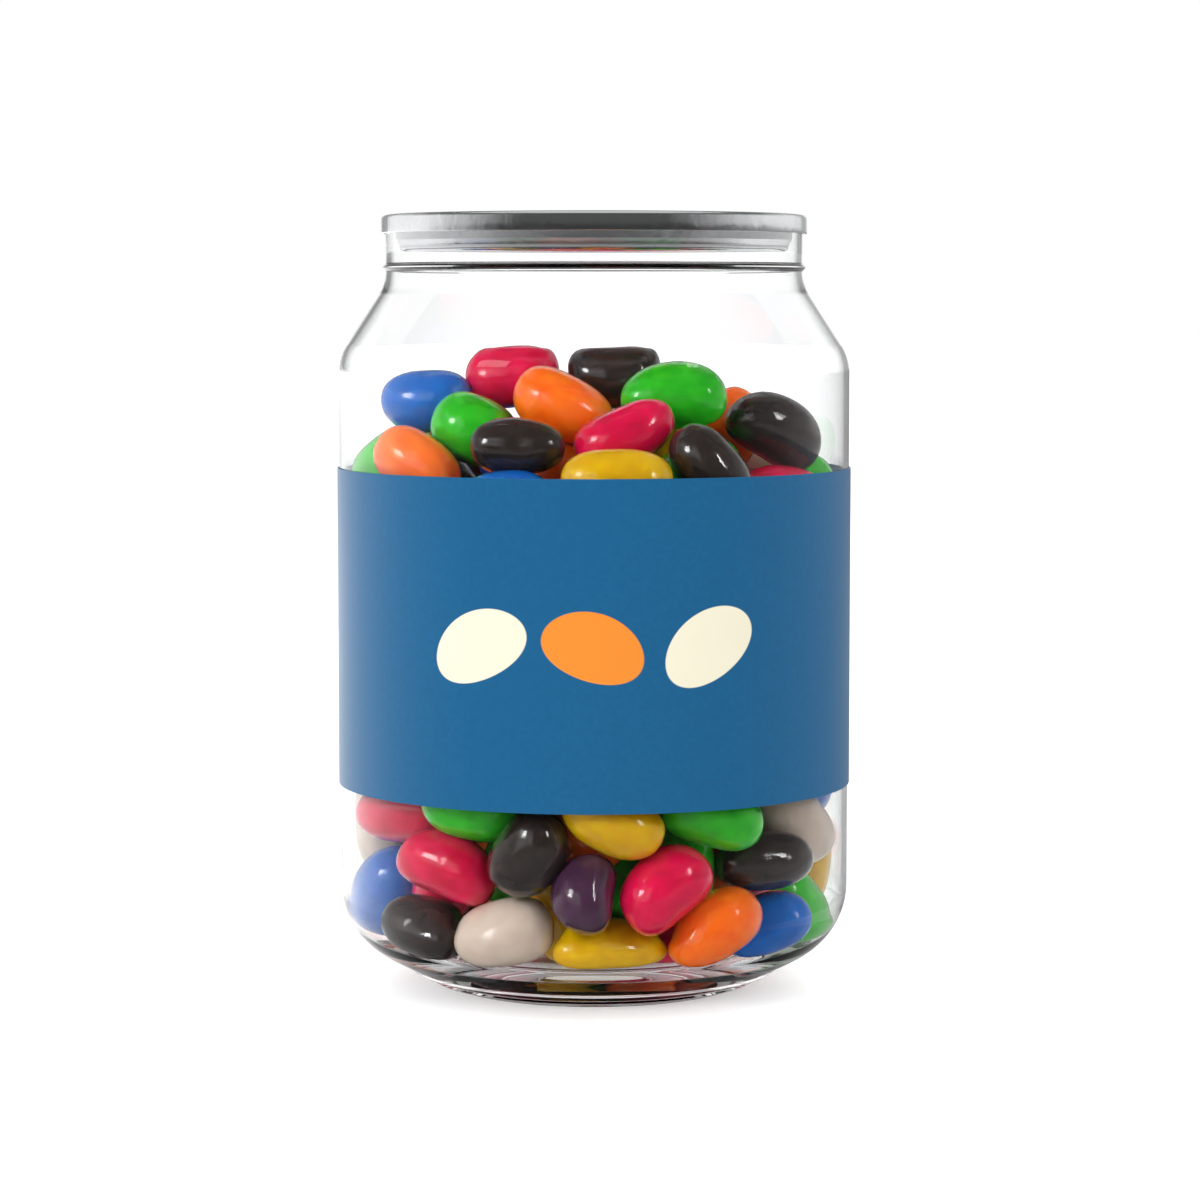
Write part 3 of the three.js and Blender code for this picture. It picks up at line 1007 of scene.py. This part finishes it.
@dataclass(frozen=True)
class PhotoCamera:
    """The camera that the photograph was taken with, as fitted to the jar's outline."""

    image: float = 1200.0
    focal: float = 3600.0
    horizon: float = 300.0
    sensor: float = 36.0
    place: tuple[float, float, float] = (0.96 * MM, -580.3 * MM, 110.37 * MM)

    @property
    def pitch(self) -> float:
        """Angle that the camera looks down by."""
        return math.atan2(self.image / 2 - self.horizon, self.focal)

    def axes(self) -> tuple[np.ndarray, np.ndarray, np.ndarray]:
        """Give the camera's right, up and forward directions."""
        sine, cosine = math.sin(self.pitch), math.cos(self.pitch)
        return np.array((1.0, 0.0, 0.0)), np.array((0.0, sine, cosine)), np.array((0.0, cosine, -sine))

    def ray(self, x: float, y: float) -> np.ndarray:
        """Give the direction through a pixel of the photograph."""
        right, up, forward = self.axes()
        run = forward * self.focal + right * (x - self.image / 2) + up * (self.image / 2 - y)
        return run / np.linalg.norm(run)

    def build(self) -> bpy.types.Object:
        """Set up the scene's camera."""
        data = bpy.data.cameras.new("camera")
        data.sensor_width = self.sensor
        data.lens = self.sensor * self.focal / self.image
        camera = bpy.data.objects.new("camera", data)
        camera.location = self.place
        camera.rotation_euler = (math.pi / 2 - self.pitch, 0.0, 0.0)
        bpy.context.scene.collection.objects.link(camera)
        bpy.context.scene.camera = camera
        return camera


@dataclass(frozen=True)
class SeenBean:
    """A bean that shows at the front: its pixel, heading in the picture, and place behind the wall."""

    colour: BeanColour
    x: float
    y: float
    turn: float = 0.0
    lean: float = 0.0
    back: float = 0.0
    size: float = 1.0
    girth: float = 1.0


SEEN_BEANS = (
    SeenBean(BeanColour.PINK, x=514, y=378, turn=0, back=28.0, size=0.93, girth=0.95),
    SeenBean(BeanColour.BLACK, x=616, y=379, turn=-4, back=29.0, size=0.95, girth=0.94),
    SeenBean(BeanColour.BLUE, x=427, y=403, turn=8, back=16.0, size=0.91, girth=0.94),
    SeenBean(BeanColour.GREEN, x=474, y=434, turn=-15, back=14.0, size=0.9, girth=1.03),
    SeenBean(BeanColour.GREEN, x=388, y=466, turn=25, back=3.0),
    SeenBean(BeanColour.ORANGE, x=419, y=465, turn=-30, size=0.95, girth=0.95),
    SeenBean(BeanColour.ORANGE, x=562, y=409, turn=-30, back=17.0, size=1.03, girth=0.98),
    SeenBean(BeanColour.GREEN, x=674, y=403, turn=-12, back=16.0, size=1.05, girth=1.03),
    SeenBean(BeanColour.BLACK, x=770, y=438, turn=-38, back=9.0, size=1.05, girth=1.03),
    SeenBean(BeanColour.PINK, x=628, y=439, turn=20, back=8.5, size=1.02, girth=0.92),
    SeenBean(BeanColour.BLACK, x=518, y=453, turn=-8, back=5.0, size=0.91, girth=0.88),
    SeenBean(BeanColour.BLACK, x=707, y=467, turn=-50, back=1.0, size=0.93, girth=0.93),
    SeenBean(BeanColour.YELLOW, x=617, y=481, turn=0, size=1.08, girth=0.95),
    SeenBean(BeanColour.BLUE, x=507, y=503, turn=5),
    SeenBean(BeanColour.PINK, x=783, y=496, turn=-12),
    SeenBean(BeanColour.GREEN, x=812, y=502, turn=70, back=4.0),
    SeenBean(BeanColour.ORANGE, x=724, y=440, turn=60, back=27.0),
    SeenBean(BeanColour.WHITE, x=375, y=825, turn=-80, back=5.0),
    SeenBean(BeanColour.PINK, x=407, y=809, turn=5),
    SeenBean(BeanColour.GREEN, x=480, y=811, turn=-10, back=3.0),
    SeenBean(BeanColour.BLACK, x=532, y=853, turn=66, size=0.9, girth=1.07),
    SeenBean(BeanColour.YELLOW, x=618, y=824, turn=-35, size=1.06),
    SeenBean(BeanColour.GREEN, x=710, y=818, turn=-5, size=1.03),
    SeenBean(BeanColour.WHITE, x=790, y=820, turn=-48),
    SeenBean(BeanColour.PURPLE, x=591, y=896, turn=86, back=1.0, size=0.77, girth=0.93),
    SeenBean(BeanColour.PINK, x=452, y=869, turn=-30, size=1.03, girth=0.98),
    SeenBean(BeanColour.BLUE, x=387, y=878, turn=50, lean=20, back=1.0, girth=1.03),
    SeenBean(BeanColour.BLACK, x=425, y=930, turn=-18, size=0.87, girth=1.0),
    SeenBean(BeanColour.WHITE, x=503, y=935, turn=25, size=1.02, girth=1.04),
    SeenBean(BeanColour.YELLOW, x=610, y=954, turn=-2, back=5.0, size=1.14, girth=0.82),
    SeenBean(BeanColour.PINK, x=665, y=892, turn=55, size=1.01, girth=1.1),
    SeenBean(BeanColour.BLACK, x=759, y=868, turn=-5, girth=0.92),
    SeenBean(BeanColour.YELLOW, x=812, y=864, turn=80, back=8.0),
    SeenBean(BeanColour.GREEN, x=801, y=906, turn=-32, back=3.0, size=0.9, girth=0.95),
    SeenBean(BeanColour.BLUE, x=770, y=931, turn=45, lean=25, size=0.9, girth=0.97),
    SeenBean(BeanColour.ORANGE, x=714, y=936, turn=40, size=1.0, girth=1.0),
    SeenBean(BeanColour.YELLOW, x=562, y=914, turn=75, back=11.0),
    SeenBean(BeanColour.ORANGE, x=588, y=843, turn=-25, back=10.5, size=0.9),
    SeenBean(BeanColour.ORANGE, x=714, y=892, turn=-20, back=12.5, size=0.9),
    SeenBean(BeanColour.PINK, x=524, y=950, turn=0, back=12.0, size=0.9, girth=0.9),
    SeenBean(BeanColour.PINK, x=663, y=950, turn=-5, back=12.5, size=0.9, girth=0.9),
)


@dataclass
class BeanHeap:
    """The heap of beans: the seen ones where the picture has them, the rest settled round them."""

    jar: ClearJar
    camera: PhotoCamera
    length: float = 15.8 * MM
    thickness: float = 10.5 * MM
    crown: float = 102.6 * MM
    edge: float = 89.0 * MM
    count: int = 254
    steps: int = 420
    size_spread: float = 0.06
    held_weight: float = 200.0
    back_ease: float = 0.3
    screen_depth: float = 8.0 * MM
    top_share: float = 0.4
    wall_gap: float = 0.4 * MM
    rod_share: float = 0.49
    wall_swing: float = 0.45
    fineness: int = 4
    bluntness: float = 2.35
    lump_size: float = 7.0 * MM
    lump_height: float = 0.4 * MM
    shares: dict[str, float] = field(default_factory=lambda: dict(
        PINK=0.14, BLACK=0.14, BLUE=0.06, GREEN=0.18, ORANGE=0.22, YELLOW=0.18, WHITE=0.05, PURPLE=0.03,
    ))
    draw: np.random.Generator = field(default_factory=lambda: np.random.default_rng(SEED))

    def seen_rods(self) -> tuple[np.ndarray, np.ndarray]:
        """Place the seen beans on their pixels, as near the front as the wall allows.

        Returns:
            Their centres and headings.
        """
        origin = np.array(self.camera.place)
        right, up, forward = self.camera.axes()
        centres, headings = [], []
        for bean in SEEN_BEANS:
            turn, lean = math.radians(bean.turn), math.radians(bean.lean)
            ray = self.camera.ray(bean.x, bean.y)
            beside = float(np.clip((origin + ray * -origin[1])[0] / self.jar.inner_radius, -1.0, 1.0))
            swing = self.wall_swing * math.asin(beside)
            flat_heading = right * math.cos(turn) + up * math.sin(turn)
            heading = flat_heading * math.cos(lean) - forward * math.sin(lean)
            heading = np.array(Matrix.Rotation(swing, 3, "Z") @ Vector(heading))
            centres.append(origin + ray * (self.first_room(bean, ray, heading) + bean.back * MM))
            headings.append(heading)
        return np.array(centres), np.array(headings)

    def first_room(self, bean: SeenBean, ray: np.ndarray, heading: np.ndarray) -> float:
        """Find how far along a ray a bean first lies inside the jar.

        Args:
            bean: The bean.
            ray: Direction of the ray from the camera.
            heading: The bean's long axis.

        Returns:
            The distance from the camera.
        """
        origin = np.array(self.camera.place)
        radius = self.thickness * self.rod_share * bean.girth
        half = self.length * bean.size / 2 - radius
        axis_distance = math.hypot(origin[0], origin[1])
        distances = np.arange(axis_distance - self.jar.body_radius, axis_distance + self.thickness, 0.2 * MM)
        middles = origin + np.outer(distances, ray)
        ends = np.stack((middles - heading * half, middles + heading * half), axis=1)
        spare = np.full(ends.shape[:2], np.inf)
        out = np.hypot(ends[..., 0], ends[..., 1])
        for radial, upward, reach in self.jar.walls():
            spare = np.minimum(spare, reach - radius - self.wall_gap - radial * out - upward * ends[..., 2])
        room = spare.min(axis=1)
        fits = np.nonzero(room >= 0.0)[0]
        return float(distances[fits[0] if len(fits) else np.argmax(room)])

    def dome(self, radius: np.ndarray) -> np.ndarray:
        """Height of the heap's top at a radius."""
        return self.crown - (self.crown - self.edge) * (radius / self.jar.inner_radius) ** 2

    def free_rods(self, count: int) -> tuple[np.ndarray, np.ndarray]:
        """Draw rough places and headings for the other beans."""
        radius = (self.jar.inner_radius - self.thickness / 2) * np.sqrt(self.draw.random(count))
        angle = self.draw.random(count) * math.tau
        low = self.jar.floor_height + self.thickness / 2
        height = low + (self.dome(radius) - self.thickness - low) * self.draw.random(count)
        centres = np.stack((radius * np.cos(angle), radius * np.sin(angle), height), axis=1)
        headings = self.draw.normal(size=(count, 3))
        return centres, headings / np.linalg.norm(headings, axis=1, keepdims=True)

    def settle(self) -> tuple[np.ndarray, np.ndarray, np.ndarray, np.ndarray]:
        """Push the beans, as rods with round ends, apart and inside the jar.

        Returns:
            Their centres, headings, lengths and girths as factors, the seen ones first.
        """
        seen, seen_headings = self.seen_rods()
        free, free_headings = self.free_rods(self.count - len(seen))
        centres = np.concatenate((seen, free))
        headings = np.concatenate((seen_headings, free_headings))
        sizes = 1.0 + self.size_spread * self.draw.uniform(-1.0, 1.0, len(centres))
        sizes[: len(seen)] = [bean.size for bean in SEEN_BEANS]
        girths = sizes * self.draw.uniform(0.97, 1.03, len(centres))
        girths[: len(seen)] = [bean.girth for bean in SEEN_BEANS]
        held = np.arange(len(centres)) < len(seen)
        ease = np.ones(len(centres))
        ease[: len(seen)] = [(1.0 + self.back_ease * bean.back) / self.held_weight for bean in SEEN_BEANS]
        radius = girths * self.thickness * self.rod_share
        half = sizes * self.length / 2 - radius
        for step in range(self.steps):
            ends = np.stack((centres - headings * half[:, None], centres + headings * half[:, None]), axis=1)
            ends = self.part(ends, centres, radius, ease)
            if step < self.steps * 0.8:
                ends[~held, :, 2] -= 0.02 * MM
            ends = self.keep_inside(ends, radius, held)
            centres = ends.mean(axis=1)
            headings = ends[:, 1] - ends[:, 0]
            headings /= np.linalg.norm(headings, axis=1, keepdims=True)
        return centres, headings, sizes, girths

    def part(self, ends: np.ndarray, centres: np.ndarray, radius: np.ndarray, ease: np.ndarray) -> np.ndarray:
        """Move overlapping rods apart by part of their overlap.

        Args:
            ends: Both end points of each rod.
            centres: Middle of each rod.
            radius: Radius of each rod.
            ease: How easily each rod moves.

        Returns:
            The moved end points.
        """
        gap = np.linalg.norm(centres[:, None] - centres[None], axis=2)
        first, second = np.nonzero(np.triu(gap < self.length * 1.15, 1))
        start, other = ends[first, 0], ends[second, 0]
        run, other_run = ends[first, 1] - start, ends[second, 1] - other
        apart = start - other
        run_run, other_other = (run * run).sum(1), (other_run * other_run).sum(1)
        run_other = (run * other_run).sum(1)
        run_apart, other_apart = (run * apart).sum(1), (other_run * apart).sum(1)
        spread = np.maximum(run_run * other_other - run_other**2, 1e-16)
        share = np.clip((run_other * other_apart - run_apart * other_other) / spread, 0.0, 1.0)
        other_share = np.clip((run_other * share + other_apart) / other_other, 0.0, 1.0)
        share = np.clip((run_other * other_share - run_apart) / run_run, 0.0, 1.0)
        between = apart + run * share[:, None] - other_run * other_share[:, None]
        distance = np.maximum(np.linalg.norm(between, axis=1), 1e-9)
        overlap = np.maximum(radius[first] + radius[second] - distance, 0.0)
        push = between / distance[:, None] * (0.45 * overlap / (ease[first] + ease[second]))[:, None]
        for index, along, sign in ((first, share, 1.0), (second, other_share, -1.0)):
            lever = 1.0 / ((1.0 - along) ** 2 + along**2)
            for end, part in ((0, 1.0 - along), (1, along)):
                move = push * (sign * ease[index] * lever * part)[:, None]
                np.add.at(ends, (index, end), move)
        return ends

    def keep_inside(self, ends: np.ndarray, radius: np.ndarray, held: np.ndarray) -> np.ndarray:
        """Move rods back inside the jar and under the dome, and the unseen ones behind the seen.

        Args:
            ends: Both end points of each rod.
            radius: Radius of each rod.
            held: True for the seen beans.

        Returns:
            The moved end points.
        """
        out = np.maximum(np.hypot(ends[..., 0], ends[..., 1]), 1e-9)
        height = ends[..., 2]
        facing = np.clip(-ends[..., 1] / out * 2.5, 0.0, 1.0)
        label_low, label_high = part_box("label")
        shown = (height < label_low.z + self.thickness / 2) | (height > label_high.z - self.thickness)
        screen = np.where(held[:, None] | ~shown, 0.0, self.screen_depth * facing)
        new_out, new_height = out.copy(), height.copy()
        for radial, upward, reach in self.jar.walls():
            over = radial * new_out + upward * new_height - (reach - radius[:, None] - self.wall_gap)
            if radial > 0.5:
                over = over + screen
            over = np.maximum(over, 0.0)
            new_out -= radial * over
            new_height -= upward * over
        top = self.dome(new_out) - radius[:, None] - self.top_share * screen
        new_height = np.where(held[:, None], new_height, np.minimum(new_height, top))
        moved = ends.copy()
        moved[..., :2] *= (new_out / out)[..., None]
        moved[..., 2] = new_height
        return moved

    def colours(self, total: int) -> list[BeanColour]:
        """Give each bean its colour, the seen ones first."""
        kinds = list(BeanColour)
        chances = [self.shares[kind.name] for kind in kinds]
        drawn = self.draw.choice(len(kinds), total - len(SEEN_BEANS), p=chances)
        return [bean.colour for bean in SEEN_BEANS] + [kinds[index] for index in drawn]

    def points_mesh(
        self, name: str, centres: np.ndarray, headings: np.ndarray, sizes: np.ndarray, girths: np.ndarray
    ) -> bpy.types.Mesh:
        """Make one point for each bean of a colour, with the attributes that shape it.

        Args:
            name: Name of the mesh.
            centres: Middle of each bean.
            headings: Long axis of each bean.
            sizes: Length factor of each bean.
            girths: Thickness factor of each bean.

        Returns:
            The mesh of points.
        """
        count = len(centres)
        mesh = bpy.data.meshes.new(name)
        mesh.from_pydata([tuple(centre) for centre in centres], [], [])
        drawn = self.draw.normal(size=(count, 3))
        belly = np.cross(headings, drawn)
        belly /= np.linalg.norm(belly, axis=1, keepdims=True)
        over = np.cross(headings, belly)
        turns = [
            tuple(Matrix((along, side, top)).transposed().to_euler())
            for along, side, top in zip(headings, belly, over)
        ]
        half_length = sizes * self.length / 2 * self.draw.uniform(0.97, 1.03, count)
        half_side = girths * self.thickness / 2 * self.draw.uniform(0.98, 1.04, count)
        half_top = girths * self.thickness / 2 * self.draw.uniform(0.94, 1.02, count)
        creased = self.draw.random(count) < 0.3
        floats = {
            "bend": self.draw.uniform(0.2, 1.3, count) * MM,
            "taper": self.draw.uniform(-0.08, 0.08, count),
            "crease": np.where(creased, self.draw.uniform(0.25, 0.5, count), 0.1) * MM,
            "tone": self.draw.random(count),
        }
        vectors = {
            "turn": np.array(turns),
            "size": np.stack((half_length, half_side, half_top), axis=1),
            "along": headings,
            "belly": belly,
            "seat": centres,
        }
        for key, values in floats.items():
            mesh.attributes.new(key, "FLOAT", "POINT").data.foreach_set("value", values)
        for key, values in vectors.items():
            mesh.attributes.new(key, "FLOAT_VECTOR", "POINT").data.foreach_set("vector", values.ravel())
        return mesh

    def build(self, group: bpy.types.NodeTree) -> list[bpy.types.Object]:
        """Make one piece of each bean colour and hand them over.

        Args:
            group: The uneven beans group.

        Returns:
            The pieces.
        """
        centres, headings, sizes, girths = self.settle()
        colours = self.colours(len(centres))
        pieces = []
        for index, colour in enumerate(BeanColour):
            name = f"beans_{colour.name.lower()}"
            mine = np.array([own is colour for own in colours])
            points = self.points_mesh(
                f"{name}_points", centres[mine], headings[mine], sizes[mine], girths[mine]
            )
            values = {
                "Fineness": self.fineness, "Bluntness": self.bluntness, "Lump Size": self.lump_size,
                "Lump Height": self.lump_height, "Seed": float(index),
                "Material": colour.value.material(colour.name.lower()),
            }
            pieces.append(settle_piece(grow(name, points, group, values), "sweets", "jelly_beans"))
        return pieces


@dataclass(frozen=True)
class SoftLamp:
    """A soft box that faces the jar and shows at most in what lies behind the clear wall."""

    name: str
    place: tuple[float, float, float]
    size: tuple[float, float]
    power: float
    mirrored: bool = True
    target: tuple[float, float, float] = (0.0, 0.0, 0.06)

    def build(self) -> None:
        """Hang the lamp."""
        data = bpy.data.lights.new(self.name, "AREA")
        data.shape = "RECTANGLE"
        data.size, data.size_y = self.size
        data.energy = self.power
        data.cycles.use_multiple_importance_sampling = self.mirrored
        lamp = bpy.data.objects.new(self.name, data)
        lamp.location = self.place
        aim = Vector(self.target) - Vector(self.place)
        lamp.rotation_euler = aim.to_track_quat("-Z", "Y").to_euler()
        lamp.visible_glossy = False
        bpy.context.scene.collection.objects.link(lamp)


@dataclass(frozen=True)
class MirroredPane:
    """A bright field in front of the jar that only what lies behind the clear wall mirrors."""

    light: float
    sides: tuple[float, float]
    heights: tuple[float, float]
    soft: float = 0.03

    def seen(self, graph: Graph, side: Socket, depth: Socket, up: Socket) -> Socket:
        """Give the pane's light in a direction.

        Args:
            graph: The world's graph.
            side: Direction to the right.
            depth: Direction away from the camera.
            up: Direction upwards.

        Returns:
            The light.
        """
        light = graph.ranged(depth, -0.2, -0.1, self.light, 0.0)
        for value, (low, high) in ((side, self.sides), (up, self.heights)):
            rise = graph.ranged(value, low - self.soft, low + self.soft, 0.0, 1.0)
            fall = graph.ranged(value, high - self.soft, high + self.soft, 1.0, 0.0)
            light = graph.math("MULTIPLY", light, graph.math("MULTIPLY", rise, fall))
        return light


@dataclass
class Studio:
    """White sweep, with a bright left side and a darker camera side for the shine, and soft boxes."""

    floor_radius: float = 9.0
    floor_colour: Colour = (0.5, 0.5, 0.503)
    floor_glow: tuple[float, float] = (0.8, 1.0)
    contact_shade: tuple[float, float] = (0.012, 0.036)
    front_reach: tuple[float, float] = (-0.6, -0.3)
    front_mirror: tuple[float, float] = (0.05, 0.25)
    side_mirror_loss: tuple[float, float] = (0.4, 0.62)
    first_mirror_loss: tuple[float, float] = (0.0, 0.76)
    backdrop: float = 1.0
    back_edge: tuple[float, float] = (0.945, 0.975)
    back_light: float = 1.1
    back_mirror: float = 0.2
    around_mirror: float = 0.65
    left_light: float = 1.15
    right_light: float = 1.0
    flags: tuple[float, float] = (0.36, 0.48)
    window: MirroredPane = MirroredPane(1.0, (-0.88, -0.2), (0.08, 0.56))
    top_light: float = 0.7
    dark_side: float = 0.1
    soft_fill: float = 0.28
    lamps: tuple[SoftLamp, ...] = (
        SoftLamp("key_window", (-0.75, -0.7, 0.5), (0.26, 0.26), 4.5),
        SoftLamp("fill_window", (0.7, -0.7, 0.5), (0.1, 0.3), 1.8),
        SoftLamp("back_box", (0.0, 0.9, 0.75), (0.8, 0.5), 7.0, mirrored=False),
    )

    def build(self) -> None:
        """Lay the floor, paint the surroundings and hang the lamps."""
        bpy.context.scene.view_settings.view_transform = "Standard"
        self.floor()
        self.surroundings()
        for lamp in self.lamps:
            lamp.build()

    def ways(self, graph: Graph) -> tuple[Socket, Socket]:
        """Tell how a ray came to the floor.

        Args:
            graph: The floor's graph.

        Returns:
            1 for a mirrored ray, and 1 for a ray mirrored by what is inside the jar.
        """
        path = graph.add("ShaderNodeLightPath").outputs
        scattered = graph.math("GREATER_THAN", path["Diffuse Depth"], 0.5)
        even = graph.math("SUBTRACT", 1.0, graph.math("MODULO", path["Ray Depth"], 2.0))
        through = graph.math("MULTIPLY", path["Is Transmission Ray"], even)
        straight = graph.math("MAXIMUM", path["Is Camera Ray"], through)
        mirrored = graph.math("SUBTRACT", 1.0, graph.math("MAXIMUM", straight, scattered))
        deep = graph.math("MULTIPLY", mirrored, graph.math("GREATER_THAN", path["Ray Depth"], 4.0))
        return mirrored, deep

    def floor(self) -> None:
        """Lay a wide round floor under the jar."""
        bare = bmesh.new()
        bmesh.ops.create_circle(bare, cap_ends=True, segments=96, radius=self.floor_radius)
        mesh = bpy.data.meshes.new("floor")
        bare.to_mesh(mesh)
        bare.free()
        constants = {"Roughness": 0.8, "Emission Color": rgba((1.0, 1.0, 1.0)), "Specular IOR Level": 0.2}
        material, graph, paint = shader("pale_floor", constants)
        spot = object_spot(graph)
        depth = graph.split(spot)[1]
        shade = self.mirrored_share(graph, spot)
        dark = rgba(tuple(0.15 * channel for channel in self.floor_colour))
        graph.link(graph.blend(shade, dark, rgba(self.floor_colour)), paint.inputs["Base Color"])
        # Painted light: the floor glows, and the glow fades out within a few centimetres of the jar's axis as a
        # painted contact shadow.
        clear_of_jar = graph.ranged(graph.vector("LENGTH", spot), *self.contact_shade, 0.0, 1.0)
        glow = graph.math("MULTIPLY", graph.ranged(depth, 0.1, 0.6, *self.floor_glow), clear_of_jar)
        graph.link(graph.math("MULTIPLY", shade, glow), paint.inputs["Emission Strength"])
        mesh.materials.append(material)
        floor = bpy.data.objects.new("floor", mesh)
        bpy.context.scene.collection.objects.link(floor)

    def mirrored_share(self, graph: Graph, spot: Socket) -> Socket:
        """Give how bright the floor is in what mirrors it: dim in front of the jar, paler at its sides.

        Args:
            graph: The floor's graph.
            spot: Place on the floor.

        Returns:
            The share, which is 1 where the floor is seen straight, through the jar or by scattered light.
        """
        side, depth, _ = graph.split(spot)
        mirrored, deep = self.ways(graph)
        near_front = graph.ranged(depth, *self.front_reach, *self.front_mirror)
        front_loss = graph.math("SUBTRACT", 1.0, graph.math("MULTIPLY", deep, near_front))
        far = graph.ranged(graph.vector("LENGTH", spot), 0.2, 0.6, 0.25, 1.0)
        deep_loss = graph.math("MULTIPLY", graph.ranged(side, -0.06, 0.06, *self.side_mirror_loss), far)
        first_loss = graph.ranged(side, -0.06, 0.06, *self.first_mirror_loss)
        side_loss = graph.add("ShaderNodeMix", {0: deep, 2: first_loss, 3: deep_loss}).outputs[0]
        heading = graph.math("DIVIDE", depth, graph.vector("LENGTH", spot))
        in_front = graph.ranged(heading, -0.6, 0.3, 1.0, 0.0)
        loss = graph.add("ShaderNodeMix", {0: in_front, 2: side_loss, 3: front_loss}).outputs[0]
        return graph.math("SUBTRACT", 1.0, graph.math("MULTIPLY", mirrored, loss))

    def surroundings(self) -> None:
        """Make the world white where it is seen straight, and lit from behind and the sides for shine."""
        world = bpy.data.worlds.new("studio")
        bpy.context.scene.world = world
        world.use_nodes = True
        graph = Graph(world.node_tree)
        path = graph.add("ShaderNodeLightPath").outputs
        scattered = graph.math("GREATER_THAN", path["Diffuse Depth"], 0.5)
        even = graph.math("SUBTRACT", 1.0, graph.math("MODULO", path["Ray Depth"], 2.0))
        behind_glass = graph.math("MULTIPLY", graph.math("GREATER_THAN", path["Ray Depth"], 4.5), even)
        mirrored = graph.math("SUBTRACT", behind_glass, scattered, clamp=True)
        side, depth, up = graph.split(graph.add("ShaderNodeTexCoord").outputs["Generated"])
        back = graph.ranged(depth, *self.back_edge, 0.0, self.back_light)
        kept = graph.ranged(mirrored, 0.0, 1.0, 1.0, self.back_mirror)
        back = graph.math("MULTIPLY", back, kept)
        level = graph.ranged(graph.math("ABSOLUTE", up), 0.3, 0.65, 1.0, 0.15)
        level = graph.math("MULTIPLY", level, graph.ranged(mirrored, 0.0, 1.0, 1.0, self.around_mirror))
        beside = graph.ranged(side, -0.9, 0.9, self.left_light, self.right_light)
        beside = graph.math("MULTIPLY", beside, graph.ranged(depth, -0.85, 0.25, 0.0, 1.0))
        flag = graph.ranged(side, -0.2, 0.2, *self.flags)
        flagged = graph.ranged(depth, 0.78, 0.88, 0.0, 1.0)
        around = graph.add("ShaderNodeMix", {0: flagged, 2: beside, 3: flag}).outputs[0]
        lit = graph.math("MAXIMUM", back, graph.math("MULTIPLY", around, level))
        plain = graph.math("SUBTRACT", 1.0, graph.math("MAXIMUM", scattered, mirrored))
        above = graph.math("MULTIPLY", graph.ranged(up, 0.7, 0.85, 0.0, self.top_light), plain)
        lit = graph.math("MAXIMUM", lit, above)
        rest = graph.ranged(scattered, 0.0, 1.0, self.dark_side, self.soft_fill)
        window = graph.math("MULTIPLY", self.window.seen(graph, side, depth, up), mirrored)
        shining = graph.math("MAXIMUM", graph.math("MAXIMUM", lit, rest), window)
        light = graph.add("ShaderNodeMix", {0: path["Is Camera Ray"], 2: shining, 3: self.backdrop}).outputs[0]
        graph.link(light, world.node_tree.nodes["Background"].inputs["Strength"])
        world.node_tree.nodes["Background"].inputs["Color"].default_value = (1.0, 1.0, 1.0, 1.0)


def main() -> None:
    """Build the jar, its end, label and beans, and the studio round them."""
    logging.basicConfig(level=logging.INFO, format="%(message)s")
    turned, tubes, beans = turned_group(), tube_group(), bean_group()
    camera = PhotoCamera()
    camera.build()
    jar = ClearJar()
    jar.build(turned)
    MetalEnd().build(turned)
    PullRing().build(tubes, turned)
    WrapLabel().build(jar)
    BeanHeap(jar, camera).build(beans)
    Studio().build()


if __name__ == "__main__":
    main()
